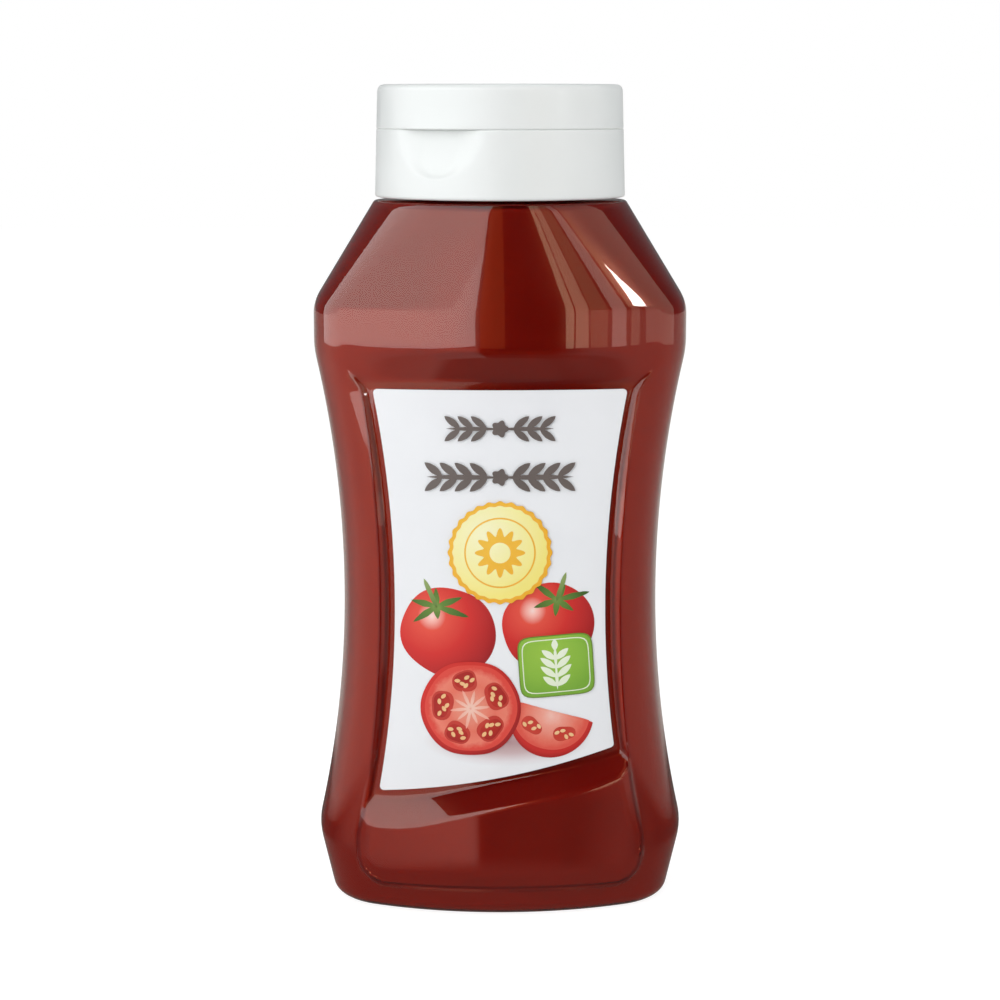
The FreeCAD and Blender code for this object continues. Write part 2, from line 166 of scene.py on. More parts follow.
@dataclass
class BottleForm:
    """The bottle's form, as rings of points at a height and in from the outer face."""

    waist_width: float = 72.1
    foot_width: float = 77.2
    foot_rise: float = 16.0
    band_bottom: float = 127.0
    band_top: float = 137.5
    ledge_level: float = 160.2
    ledge_radius: float = 28.5
    rib_depth: float = 54.6
    bulge_depth: float = 55.4
    foot_depth: float = 52.8
    front_curve: float = 72.0
    side_curve: float = 60.0
    corner_curve: float = 13.5
    soft_edge: float = 5.0
    foot_round: float = 3.0
    panel_curve: float = 130.0
    panel_half_depth: float = 23.2
    panel_inset: float = 11.2
    cove_height: float = 6.2
    slope_side: float = 1.2
    cove_rise: float = 0.8  # the cove's upper edge above the band's lower one
    cove_flare: float = 4.0  # how much wider the panel opens at the cove's upper edge
    step_levels: Triple = (25.2, 32.6, 36.4)
    step_drops: Triple = (15.0, 8.3, 14.0)
    step_reach: float = 9.5
    step_lean: float = 1.4  # how much lower the step runs for each millimetre in from the face
    step_margin: float = 1.2  # from the step's edges to the rings beside them
    plate_curve: float = 85.0
    plate_inset: float = 9.6
    plate_bottom: float = 6.2
    plate_corner: float = 7.0
    plate_bevel: float = 0.8
    plate_ease: float = 0.4  # slope of the bevel at the plate's sides
    plate_foot_ease: float = 0.24  # slope of the bevel at the plate's foot
    plate_ease_start: float = 2.0  # above the plate's foot
    plate_run: float = 3.0  # how far the plate runs on over the step
    plate_fall: float = 3.0  # slope outside the plate's edge
    edge_columns: Pair = (3.0, 12.9)  # distances in from the side where columns follow the outline
    edge_turn: float = 7.8  # where they move closer together
    side_columns: int = 12
    middle_columns: int = 24
    side_share: float = 0.4  # how much of the step's bend the last side column takes
    share_gain: float = 0.12  # how much more each millimetre in takes
    level_gap: float = 0.1
    crease: float = 0.5
    edge: float = 0.5
    nearly_round: Triple = (1.019, 1.071, 0.98)

    def __post_init__(self) -> None:
        """Reads the overall sizes from the frame and tabulates the profiles."""
        low, high = node_box("bottle")
        self.width, self.depth = high[0] - low[0], high[1] - low[1]
        self.panel_top = self.band_bottom - self.cove_height
        self.levels = np.arange(0.0, self.ledge_level + 0.2, 0.1)
        self.half_widths = np.array([self._half_width(z) for z in self.levels])
        self.half_depths = np.array([self._half_depth(z) for z in self.levels])
        self.floor_edge = self.waist_width / 2.0 - self.panel_inset
        self.edge_depth = float(self.floor_depth(np.array(self.floor_edge)))
        self.columns = self._column_plan()

    # profiles
    def _joined(self, pieces: Sequence[Callable], breaks: Sequence[float], z: float) -> float:
        """One profile made of several, each change of slope blended over the soft edge."""
        blend, near = self.soft_edge, 0.01
        for i, at in enumerate(breaks):
            low, high = at - blend / 2.0, at + blend / 2.0
            if low < z < high:
                below, above = pieces[i], pieces[i + 1]
                rise_low = (below(low + near) - below(low - near)) / (2.0 * near)
                rise_high = (above(high + near) - above(high - near)) / (2.0 * near)
                t = (z - low) / blend
                return (
                    (2 * t**3 - 3 * t**2 + 1) * below(low)
                    + (t**3 - 2 * t**2 + t) * blend * rise_low
                    + (3 * t**2 - 2 * t**3) * above(high)
                    + (t**3 - t**2) * blend * rise_high
                )
        return pieces[sum(1 for at in breaks if z >= at)](z)

    @staticmethod
    def _line(z0: float, v0: float, z1: float, v1: float) -> Callable:
        """A straight profile as a function of height."""
        return lambda z: v0 + (v1 - v0) * (z - z0) / (z1 - z0)

    def _half_width(self, z: float) -> float:
        """Half the width at a height, before the foot is rounded."""
        body, waist = self.width / 2.0, self.waist_width / 2.0
        half = (self.band_bottom - self.foot_rise) / 2.0
        sag = body - waist
        radius = (half * half + sag * sag) / (2.0 * sag)
        centre = (self.band_bottom + self.foot_rise) / 2.0
        pieces = [
            self._line(0.0, self.foot_width / 2.0, self.foot_rise, body),
            lambda at: waist + radius - math.sqrt(radius * radius - (at - centre) ** 2),
            lambda at: body,
            self._line(self.band_top, body, self.ledge_level, self.ledge_radius),
        ]
        return self._joined(pieces, [self.foot_rise, self.band_bottom, self.band_top], z)

    def _half_depth(self, z: float) -> float:
        """Half the depth at a height, before the foot is rounded."""
        bulge, rib, body = self.bulge_depth / 2.0, self.rib_depth / 2.0, self.depth / 2.0
        pieces = [
            self._line(0.0, self.foot_depth / 2.0, self.foot_rise, bulge),
            self._line(self.foot_rise, bulge, self.panel_top, rib),
            self._line(self.panel_top, rib, self.band_bottom, body),
            self._line(self.band_bottom, body, self.ledge_level, self.ledge_radius),
        ]
        return self._joined(pieces, [self.foot_rise, self.panel_top, self.band_bottom], z)

    def half_width(self, z: np.ndarray) -> np.ndarray:
        """Half the width of the body at heights."""
        return np.interp(z, self.levels, self.half_widths)

    # plan
    def _plan(self, z: np.ndarray, inset: float) -> dict[str, np.ndarray]:
        """Radii and centres of the plan's arcs at heights, in from the outer face."""
        share = np.clip((z - self.band_top) / (self.ledge_level - self.band_top), 0.0, 1.0)
        flat = (self.front_curve, self.side_curve, self.corner_curve)
        radii = [
            a + (self.ledge_radius * factor - a) * share - inset
            for a, factor in zip(flat, self.nearly_round)
        ]
        front, side, corner = radii
        below = np.clip(self.foot_round - z, 0.0, self.foot_round)
        shrink = inset + self.foot_round - np.sqrt(self.foot_round**2 - below**2)
        width = self.half_width(z) - shrink
        depth = np.interp(z, self.levels, self.half_depths) - shrink
        front_y, side_x = front - depth, width - side
        reach_front, reach_side = front - corner, side - corner
        span = np.hypot(side_x, front_y)
        along = (reach_side**2 - reach_front**2 + span**2) / (2.0 * span)
        off = np.sqrt(reach_side**2 - along**2)
        ux, uy = -side_x / span, front_y / span
        cx, cy = side_x + ux * along + uy * off, uy * along - ux * off
        to_front = np.hypot(cx, cy - front_y)
        to_side = np.hypot(cx - side_x, cy)
        return dict(
            width=width, front=front, side=side, corner=corner, front_y=front_y, side_x=side_x, cx=cx, cy=cy,
            start_x=cx + corner * cx / to_front, end_y=cy + corner * cy / to_side,
        )

    @staticmethod
    def _arc(radius: float | np.ndarray, off: np.ndarray) -> np.ndarray:
        """How far an arc reaches beyond its centre, at places off to the centre's side."""
        return np.sqrt(np.maximum(radius * radius - off * off, 0.0))

    def _depth_at(self, plan: dict[str, np.ndarray], x: np.ndarray) -> np.ndarray:
        """How far in front of the axis the plan runs, at places across it."""
        on_front = plan["front_y"] - self._arc(plan["front"], x)
        on_corner = plan["cy"] - self._arc(plan["corner"], x - plan["cx"])
        return -np.where(x <= plan["start_x"], on_front, on_corner)

    def _width_at(self, plan: dict[str, np.ndarray], y: np.ndarray) -> np.ndarray:
        """How far from the middle the plan runs, at places in front of the axis (y below 0)."""
        on_side = plan["side_x"] + self._arc(plan["side"], y)
        on_corner = plan["cx"] + self._arc(plan["corner"], y - plan["cy"])
        return np.where(y >= plan["end_y"], on_side, on_corner)

    # label panel and raised panel
    def floor_depth(self, x: np.ndarray) -> np.ndarray:
        """Depth of the label panel's floor across it."""
        return self.panel_half_depth - self.panel_curve + self._arc(self.panel_curve, x)

    def plate_depth(self, x: np.ndarray) -> np.ndarray:
        """Depth of the raised panel's face across it."""
        return self.depth / 2.0 - self.plate_curve + self._arc(self.plate_curve, x)

    def _across(self, values: Sequence[float], x: np.ndarray) -> np.ndarray:
        """A curve through three values, at the left, middle and right of the panel's foot."""
        left, middle, right = values
        t = x / (self.half_width(np.array(self.step_levels[1])) - self.panel_inset)
        return middle + (right - left) / 2.0 * t + ((left + right) / 2.0 - middle) * t * t

    def step_line(self, x: np.ndarray, depth: np.ndarray) -> np.ndarray:
        """Height of the slanted step where it is at a depth."""
        fall = self._across(self.step_drops, x) / self.step_reach
        return self._across(self.step_levels, x) - fall * (depth - self.edge_depth)

    def front_depth(self, x: np.ndarray, z: np.ndarray, body: np.ndarray, inset: float) -> np.ndarray:
        """Depth of the outer or inner face at the front: body, raised panel and label panel.

        Args:
            x: Places across the front.
            z: Heights.
            body: Depth of the plain body there.
            inset: How far in from the outer face.

        Returns:
            How far in front of the axis the face lies.
        """
        width = self.half_width(z)
        side_low = self.half_width(np.array(self.foot_rise)) - self.plate_inset
        side = np.where(z > self.foot_rise, width - self.plate_inset, side_low)
        from_side, from_foot = side - np.abs(x) - inset, z - self.plate_bottom - inset
        left_top, _, right_top = self.step_levels
        from_top = left_top + (right_top - left_top) * (x + side_low) / (2.0 * side_low) - z - inset
        turn = self.plate_corner - inset
        in_corner = (from_side < turn) & (from_foot < turn)
        from_edge = np.where(
            in_corner,
            turn - np.hypot(turn - from_side, turn - from_foot),
            np.minimum(np.minimum(from_side, from_foot), from_top + self.plate_run),
        )
        bevel = self.plate_bevel
        ease = self.plate_foot_ease + (self.plate_ease - self.plate_foot_ease) * smooth_step(
            self.plate_bottom + self.plate_ease_start, self.plate_bottom + self.plate_corner, z
        )
        drop = np.maximum(bevel - ease * from_edge, 0.0) + self.plate_fall * np.maximum(-from_edge, 0.0)
        raised = smooth_max(body, self.plate_depth(x) - inset - drop, self.edge)

        floor = self.floor_depth(x) - inset
        lean = inset * math.hypot(1.0, self.slope_side)
        flare = self.cove_flare * smooth_step(self.panel_top - 3.0, self.band_bottom, z)
        half = width - self.panel_inset + flare
        wall = self.floor_depth(half) + (np.abs(x) - half - lean) / self.slope_side
        cove_top = self.band_bottom + self.cove_rise
        share = (z - self.panel_top - inset) / (cove_top - self.panel_top)
        band = self.depth / 2.0 - self.front_curve + self._arc(self.front_curve, x)
        cove = floor + np.maximum(band - self.floor_depth(x), 1.0) * share
        fall = self._across(self.step_drops, x) / self.step_reach
        lean = inset * np.hypot(1.0, fall)
        step = self.edge_depth + (self._across(self.step_levels, x) - z - lean) / fall
        sunk = floor
        for face in (wall, cove, step):
            sunk = smooth_max(sunk, face, self.crease)
        return smooth_min(raised, sunk, self.edge)

    # rings
    def _column_plan(self) -> list[tuple[float, str, float, float]]:
        """The columns of the front half from left to right: sign, kind, place and step share."""
        start = self.side_share
        side = [(t, "side", t, start * t) for t in spaced(0.0, 1.0, 1.0 / self.side_columns)]
        first, last = self.edge_columns
        fine = spaced(first, self.edge_turn, 0.8) + spaced(self.edge_turn, last, 0.3)
        near = [(0.0, "edge", d, min(1.0, start + self.share_gain * (d - first))) for d in fine]
        middle = [(0.0, "middle", f, 1.0) for f in spaced(1.0, 0.0, 1.0 / self.middle_columns)]
        half = [item[1:] for item in side + near + middle]
        left = [(-1.0, *item) for item in half]
        right = [(1.0, *item) for item in reversed(half)]
        return left + [(1.0, "middle", 0.0, 1.0)] + right[:-1]

    def ring(self, level: float, inset: float) -> np.ndarray:
        """One ring of the face, in from the outer one by inset.

        Args:
            level: The ring's height away from the step, which it follows where it crosses it.
            inset: How far in from the outer face.

        Returns:
            Points round the bottle, front half and then back half.
        """
        signs, kinds, places, share = (np.array(items) for items in zip(*self.columns))
        first, last = self.edge_columns
        rough = signs * self._rough_place(kinds, places)
        z = self._warped(level, rough, share, inset)
        plan = self._plan(z, inset)
        turn_y = self._depth_at(plan, plan["width"] - first)
        y_side = -places * turn_y
        x_side = self._width_at(plan, y_side)
        x_edge = plan["width"] - places
        x_middle = (plan["width"] - last) * places
        x = np.where(kinds == "side", x_side, np.where(kinds == "edge", x_edge, x_middle))
        body = self._depth_at(plan, x)
        front = self.front_depth(signs * x, z, body, inset)
        y = np.where(kinds == "side", y_side, -front)
        half = np.stack([signs * x, y, z], axis=1)
        return np.concatenate([half, half * np.array([-1.0, -1.0, 1.0])])

    def _rough_place(self, kinds: np.ndarray, places: np.ndarray) -> np.ndarray:
        """About how far from the middle each column runs, at the step's height."""
        width = float(self.half_width(np.array(self.step_levels[1])))
        first, last = self.edge_columns
        inner = np.where(kinds == "edge", width - places, (width - last) * places)
        return np.where(kinds == "side", width - first, inner)

    def _warped(self, level: float, x: np.ndarray, share: np.ndarray, inset: float) -> np.ndarray:
        """Heights of one ring, bent so that rings run along the step's two edges."""
        low_in, low_at, high_at, high_in = STEP_BAND
        lean = inset * self.step_lean
        low_to = self.step_line(x, self.plate_depth(x)) - lean - self.step_margin
        high_to = self.step_line(x, self.floor_depth(x)) - lean + self.step_margin
        low_to = low_at + (low_to - low_at) * share
        high_to = high_at + (high_to - high_at) * share
        if level <= low_in or level >= high_in:
            return np.full(len(x), level)
        if level < low_at:
            return low_in + (level - low_in) * (low_to - low_in) / (low_at - low_in)
        if level < high_at:
            return low_to + (level - low_at) * (high_to - low_to) / (high_at - low_at)
        return high_to + (level - high_at) * (high_in - high_to) / (high_in - high_at)

    def levels_between(self, bottom: float, top: float) -> list[float]:
        """Ring heights from bottom to top, closer together where the form turns."""
        low_in, low_at, high_at, high_in = STEP_BAND
        below, above = 2.5, 3.0  # from a turn of the form
        steps = [  # start, end and spacing
            (0.0, 3.2, 0.4),
            (3.2, 5.2, 0.7),
            (5.2, 7.6, 0.3),
            (7.6, low_in, 0.8),
            (low_in, low_at, 1.1),
            (low_at, high_at, 0.32),
            (high_at, high_in, 1.4),
            (high_in, self.panel_top - below, 2.2),
            (self.panel_top - below, self.band_bottom + above, 0.4),
            (self.band_bottom + above, self.band_top - below, 1.0),
            (self.band_top - below, self.band_top + above, 0.5),
            (self.band_top + above, self.ledge_level, 1.6),
        ]
        levels = [z for start, end, step in steps for z in spaced(start, end, step)]
        return [bottom] + [z for z in levels if bottom + self.level_gap < z < top - self.level_gap] + [top]


# ---------------------------------------------------------------- wall and filling
@dataclass
class Bottle:
    """The clear wall and the ketchup inside it."""

    form: BottleForm
    wall: float = 1.0
    base_wall: float = 1.4
    base_dish: float = 2.2
    base_ring: float = 6.5
    dish_power: float = 0.7
    neck_radius: float = 19.0
    bite: float = 0.05  # how far the ketchup reaches into the wall

    def base_rings(self, outline: np.ndarray, level: float, grow: float) -> list[np.ndarray]:
        """Rings of the dished base, from its middle out to an outline.

        Args:
            outline: The ring round the base.
            level: Height of the flat ring that the base stands on.
            grow: How much larger the dish is than the outer one.

        Returns:
            The rings, the middle one first.
        """
        half_x = self.form.foot_width / 2.0 - self.base_ring + grow
        half_y = self.form.foot_depth / 2.0 - self.base_ring + grow
        rings = []
        for share in [0.0, 0.1] + spaced(0.2, 0.7, 0.1) + spaced(0.7, 0.9, 0.02) + spaced(0.9, 1.0, 0.05):
            points = outline * np.array([share, share, 0.0])
            reach = (points[:, 0] / half_x) ** 2 + (points[:, 1] / half_y) ** 2
            points[:, 2] = level + self.base_dish * np.maximum(0.0, 1.0 - reach) ** self.dish_power
            rings.append(points)
        return rings

    @staticmethod
    def round_ring(ring: np.ndarray, radius: float, level: float) -> np.ndarray:
        """A circle at a height whose points lie in the same directions as a ring's."""
        flat = ring[:, :2] / np.linalg.norm(ring[:, :2], axis=1, keepdims=True)
        return np.concatenate([flat * radius, np.full((len(ring), 1), level)], axis=1)

    def inner_rings(self, inset: float, bottom: float) -> list[np.ndarray]:
        """Rings of the inner face from the middle of the base up to under the ledge."""
        top = self.form.ledge_level - inset
        body = [self.form.ring(z, inset) for z in self.form.levels_between(bottom, top)]
        return self.base_rings(body[0], bottom, self.base_wall) + body

    def build_wall(self) -> bpy.types.Object:
        """The wall, with its neck, as one closed shell."""
        form = self.form
        _, top = node_box("bottle")
        outer = [form.ring(z, 0.0) for z in form.levels_between(0.0, form.ledge_level - 0.3)]
        rings = self.base_rings(outer[0], 0.0, 0.0) + outer
        last = outer[-1]
        lip = 0.2  # rounding of the mouth's two edges
        for radius, level in (
            (form.ledge_radius - 0.05, form.ledge_level - 0.1),
            (form.ledge_radius - 0.25, form.ledge_level),
            (self.neck_radius + 0.5, form.ledge_level),
            (self.neck_radius, form.ledge_level + 0.4),
            (self.neck_radius, top[2] - lip),
            (self.neck_radius - lip, top[2]),
            (self.neck_radius - self.wall + lip, top[2]),
            (self.neck_radius - self.wall, top[2] - lip),
            (self.neck_radius - self.wall, form.ledge_level - self.wall),
        ):
            rings.append(self.round_ring(last, radius, level))
        rings += reversed(self.inner_rings(self.wall, self.base_wall))
        return wrap_rings("bottle_wall", rings)

    def build_ketchup(self) -> bpy.types.Object:
        """The ketchup, its face just inside the wall's inner face."""
        form = self.form
        inset, bottom = self.wall - self.bite, self.base_wall - self.bite
        rim = 0.6  # rounding of the surface's edge
        _, top = node_box("ketchup")
        rings = self.inner_rings(inset, bottom)
        last = rings[-1]
        bore = self.neck_radius - self.wall + self.bite
        for radius, level in (
            (bore, form.ledge_level - inset),
            (bore, top[2] - rim),
            (bore - rim, top[2]),
            (bore / 2.0, top[2]),
            (0.0, top[2]),
        ):
            rings.append(self.round_ring(last, radius, level))
        return wrap_rings("ketchup_filling", rings)


# ---------------------------------------------------------------- cap
@dataclass
class Cap:
    """The flip-top cap: a skirt with a scoop for the thumb, and a lid with a small lip."""

    draft: float = 0.7
    crown_round: float = 1.5
    seam_edge: float = 0.25
    turn: float = -30.0  # degrees from the front to the thumb lip
    columns: int = 240
    neck_radius: float = 19.0
    scoop_depth: float = 2.1
    scoop_fall: float = 10.5
    scoop_half_angle: float = 24.0
    lip_out: float = 0.5
    lip_height: float = 5.0
    lip_angles: Pair = (8.0, 22.0)  # where the lip starts to fade and where it ends
    skirt_rim: float = 0.6
    seam_disc: float = 12.0
    crown_discs: Triple = (20.0, 8.0, 0.0)
    # how far from the seam the rings of its rounded edge lie, and how far in
    seam_rings: tuple[Pair, ...] = ((0.25, 0.0), (0.12, 0.04), (0.0, 0.25), (0.0, 1.0))

    def __post_init__(self) -> None:
        """Reads the cap's radius and heights from the frame."""
        low, high = node_box("cap_base")
        lid_low, lid_high = node_box("cap_lid")
        self.skirt, self.seam, self.crown = low[2], lid_low[2], lid_high[2]
        self.radius = high[1]
        self.bore_top = node_box("bottle")[1][2]
        self.angles = np.linspace(0.0, 2.0 * math.pi, self.columns, endpoint=False)

    def wall_radius(self, level: float) -> np.ndarray:
        """Radius round the cap at a height, with the scoop and the lip."""
        share = (level - self.skirt) / (self.crown - self.skirt)
        plain = self.radius - self.draft * share
        middle = math.radians(-90.0 + self.turn)
        off = np.degrees(np.abs((self.angles - middle + math.pi) % (2.0 * math.pi) - math.pi))
        if level <= self.seam:
            down = (self.seam - level) / self.scoop_fall
            reach = np.sqrt(np.maximum(0.0, 1.0 - down * down))
            edge = self.scoop_half_angle * max(reach, 0.02)
            return plain - self.scoop_depth * reach * (1.0 - smooth_step(0.35 * edge, edge, off))
        above = (level - self.seam) / self.lip_height
        fade = max(0.0, 1.0 - above) ** 1.5
        return plain + self.lip_out * fade * (1.0 - smooth_step(*self.lip_angles, off))

    def ring(self, level: float, inset: float = 0.0) -> np.ndarray:
        """One ring of the outer face at a height."""
        return self.disc(self.wall_radius(level) - inset, level)

    def disc(self, radius: float | np.ndarray, level: float) -> np.ndarray:
        """A ring with one radius, or with one for each of its points."""
        across, back = np.cos(self.angles) * radius, np.sin(self.angles) * radius
        return np.stack([across, back, np.full(self.columns, level)], 1)

    def build_base(self) -> bpy.types.Object:
        """The lower part, a closed body round the neck."""
        rim = self.radius - self.skirt_rim
        rings = [self.disc(0.0, self.bore_top), self.disc(self.neck_radius, self.bore_top)]
        rings += [self.disc(self.neck_radius, self.skirt), self.disc(rim, self.skirt)]
        rings += [self.ring(self.skirt + 0.1, 0.25), self.ring(self.skirt + 0.35, 0.05)]
        rings += [self.ring(z) for z in spaced(self.skirt + 0.6, self.seam - self.seam_edge, 0.4)]
        for drop, inset in self.seam_rings:
            rings.append(self._moved(self.seam - drop, self.seam - self.seam_edge, inset))
        rings += [self.disc(self.seam_disc, self.seam), self.disc(0.0, self.seam)]
        return wrap_rings("cap_lower", rings)

    def _moved(self, level: float, like: float, inset: float) -> np.ndarray:
        """A ring with the outline of another height, moved in and to a height."""
        ring = self.ring(like, inset)
        ring[:, 2] = level
        return ring

    def build_lid(self) -> bpy.types.Object:
        """The lid, shut on the lower part."""
        rings = [self.disc(0.0, self.seam), self.disc(self.seam_disc, self.seam)]
        for rise, inset in reversed(self.seam_rings):
            rings.append(self._moved(self.seam + rise, self.seam + self.seam_edge, inset))
        turn = self.crown_round
        rings += [self.ring(z) for z in spaced(self.seam + 0.5, self.crown - turn, 0.4)]
        for angle in np.linspace(0.0, math.pi / 2.0, 9):
            rise, inset = turn * math.sin(angle), turn * (1.0 - math.cos(angle))
            rings.append(self._moved(self.crown - turn + rise, self.crown - turn, inset))
        rings += [self.disc(radius, self.crown) for radius in self.crown_discs]
        return wrap_rings("cap_upper", rings)


# ---------------------------------------------------------------- finishes
class Graph:
    """A small helper that lays out the nodes of a material or of the world."""

    def __init__(self, owner: bpy.types.ID, output: str = "ShaderNodeOutputMaterial") -> None:
        """Empties the nodes of a material or a world.

        Args:
            owner: The material or world.
            output: Kind of its output node.
        """
        owner.use_nodes = True
        self.owner = owner
        self.nodes = owner.node_tree.nodes
        self.links = owner.node_tree.links
        self.nodes.clear()
        self.output = self.nodes.new(output)

    def add(self, kind: str, **settings: object) -> bpy.types.Node:
        """Adds a node; settings name its properties or, with spaces as underscores, its inputs."""
        node = self.nodes.new(kind)
        for key, value in settings.items():
            if hasattr(node, key):
                setattr(node, key, value)
            else:
                node.inputs[key.replace("_", " ")].default_value = value
        return node

    def link(
        self, source: bpy.types.Node, output: str | int, target: bpy.types.Node, socket: str | int
    ) -> None:
        """Joins an output to an input, each by its name or number."""
        self.links.new(source.outputs[output], target.inputs[socket])

    def place(self, centre: Triple = (0.0, 0.0, 0.0), scale: Triple = (1.0, 1.0, 1.0)) -> bpy.types.Node:
        """Object coordinates through a Mapping node centred on a point."""
        coordinates = self.add("ShaderNodeTexCoord")
        mapping = self.add("ShaderNodeMapping", vector_type="TEXTURE", Location=centre, Scale=scale)
        self.link(coordinates, "Object", mapping, "Vector")
        return mapping

    def uneven(self, broad: float, fine: float) -> bpy.types.Node:
        """The shared unevenness at two scales, with outputs Mask and Height."""
        node = self.add("ShaderNodeGroup", node_tree=FINE_SURFACE, Broad=broad, Fine=fine)
        self.link(self.place(), "Vector", node, "Vector")
        return node

    def ranged(self, source: Source, start: Pair, end: Pair = (0.0, 1.0)) -> bpy.types.Node:
        """A value moved from one range to another.

        Args:
            source: A node and its output.
            start: The range that it comes from.
            end: The range that it goes to.

        Returns:
            The node, with the output Result.
        """
        (low, high), (to_low, to_high) = start, end
        node = self.add("ShaderNodeMapRange", From_Min=low, From_Max=high, To_Min=to_low, To_Max=to_high)
        self.link(*source, node, "Value")
        return node

    def over(self, source: Source, limit: float = 0.5) -> Source:
        """1 where a value is over a limit, and otherwise 0."""
        node = self.add("ShaderNodeMath", operation="GREATER_THAN")
        node.inputs[1].default_value = limit
        self.link(*source, node, 0)
        return node, 0

    def mixed(
        self, first: Colour | Source, second: Colour | Source, share: Source | None = None, blend: str = "MIX"
    ) -> Source:
        """Two colours, mixed by a share or blended in full.

        Args:
            first: A colour, or a node and its output.
            second: Another.
            share: The node and output that say how much of the second there is.
            blend: How they are blended.

        Returns:
            The mixed colour.
        """
        share_in, first_in, second_in, colour_out = 0, 6, 7, 2
        node = self.add("ShaderNodeMix", data_type="RGBA", blend_type=blend)
        for socket, value in ((first_in, first), (second_in, second)):
            if isinstance(value[0], float):
                node.inputs[socket].default_value = (*value, 1.0)
            else:
                self.link(*value, node, socket)
        if share is None:
            node.inputs[share_in].default_value = 1.0
        else:
            self.link(*share, node, share_in)
        return node, colour_out

    def ramp(self, source: Source, stops: Stops) -> Source:
        """A colour that runs through stops as a value goes from 0 to 1."""
        node = self.add("ShaderNodeValToRGB")
        elements = node.color_ramp.elements
        elements.remove(elements[1])
        for i, (at, colour) in enumerate(stops):
            element = elements[0] if i == 0 else elements.new(at)
            element.position = at
            element.color = (*colour, 1.0)
        self.link(*source, node, "Fac")
        return node, "Color"

    def blend(self, share: Source, first: bpy.types.Node, second: bpy.types.Node) -> bpy.types.Node:
        """Two shaders, mixed by a share."""
        mix = self.add("ShaderNodeMixShader")
        self.link(*share, mix, "Fac")
        self.link(first, 0, mix, 1)
        self.link(second, 0, mix, 2)
        return mix

    def finish(self, shader: bpy.types.Node) -> bpy.types.ID:
        """Ends the graph with a shader, and gives back its owner."""
        self.link(shader, 0, self.output, "Surface")
        return self.owner


def fine_surface_group() -> bpy.types.NodeTree:
    """A node group for small unevenness: a soft broad mask and a fine height.

    Returns:
        The group, with inputs Vector, Broad and Fine and outputs Mask and Height.
    """
    group = bpy.data.node_groups.new("fine_surface", "ShaderNodeTree")
    for name, way, kind in (
        ("Vector", "INPUT", "NodeSocketVector"),
        ("Broad", "INPUT", "NodeSocketFloat"),
        ("Fine", "INPUT", "NodeSocketFloat"),
        ("Mask", "OUTPUT", "NodeSocketFloat"),
        ("Height", "OUTPUT", "NodeSocketFloat"),
    ):
        group.interface.new_socket(name, in_out=way, socket_type=kind)
    start, end = group.nodes.new("NodeGroupInput"), group.nodes.new("NodeGroupOutput")
    mix = group.nodes.new("ShaderNodeMath")
    mix.operation = "MULTIPLY_ADD"
    fine_share = 0.25
    mix.inputs[1].default_value = fine_share
    for scale, detail, socket in (("Broad", 2.0, 2), ("Fine", 4.0, 0)):
        noise = group.nodes.new("ShaderNodeTexNoise")
        noise.inputs["Detail"].default_value = detail
        group.links.new(start.outputs["Vector"], noise.inputs["Vector"])
        group.links.new(start.outputs[scale], noise.inputs["Scale"])
        group.links.new(noise.outputs["Fac"], mix.inputs[socket])
        if scale == "Broad":
            group.links.new(noise.outputs["Fac"], end.inputs["Mask"])
    group.links.new(mix.outputs[0], end.inputs["Height"])
    return group


FINE_SURFACE = fine_surface_group()
MASK_RANGE = (0.3, 0.7)  # where nearly all of the broad mask lies


@dataclass(frozen=True)
class Finish:
    """A finish: two near colours and a range of roughness, both led by slight unevenness."""

    name: str
    dark: Colour
    light: Colour
    roughness: Pair
    scales: Pair  # of the broad and the fine unevenness
    height: float  # of the unevenness, in metres
    ior: float = 1.45
    specular: float = 0.5
    gleam: Colour = (1.0, 1.0, 1.0)
    clear: bool = False  # glass-like, and open to the lamps

    def material(self) -> bpy.types.Material:
        """Builds the material."""
        graph = Graph(bpy.data.materials.new(self.name))
        shader = graph.add(
            "ShaderNodeBsdfPrincipled",
            IOR=self.ior,
            Specular_IOR_Level=self.specular,
            Specular_Tint=(*self.gleam, 1.0),
            Transmission_Weight=float(self.clear),
        )
        uneven = graph.uneven(*self.scales)
        mask = (uneven, "Mask")
        if self.dark == self.light:
            shader.inputs["Base Color"].default_value = (*self.dark, 1.0)
        else:
            graph.link(*graph.mixed(self.dark, self.light, mask), shader, "Base Color")
        graph.link(graph.ranged(mask, MASK_RANGE, self.roughness), "Result", shader, "Roughness")
        bump = graph.add("ShaderNodeBump", Strength=1.0, Distance=self.height)
        graph.link(uneven, "Height", bump, "Height")
        graph.link(bump, "Normal", shader, "Normal")
        if self.clear:
            path, through = graph.add("ShaderNodeLightPath"), graph.add("ShaderNodeBsdfTransparent")
            shader = graph.blend((path, "Is Shadow Ray"), shader, through)
        return graph.finish(shader)


WALL_TINT: Colour = (1.0, 0.985, 0.965)
CLEAR_WALL = Finish(
    "clear_wall", WALL_TINT, WALL_TINT, (0.022, 0.04), (22.0, 260.0), 0.000015, ior=1.5, clear=True
)
KETCHUP_SAUCE = Finish(
    "ketchup", (0.105, 0.0012, 0.0004), (0.135, 0.0026, 0.0008), (0.12, 0.2), (45.0, 900.0), 0.00003,
    specular=0.6, gleam=(1.0, 0.33, 0.18),
)
WHITE_PLASTIC = Finish(
    "cap_plastic", (0.80, 0.825, 0.81), (0.84, 0.86, 0.85), (0.34, 0.46), (70.0, 1400.0), 0.00002, ior=1.49
)
COATED_PAPER = Finish(
    "label_paper", (0.86, 0.872, 0.895), (0.89, 0.90, 0.92), (0.38, 0.5), (120.0, 2600.0), 0.000006
)


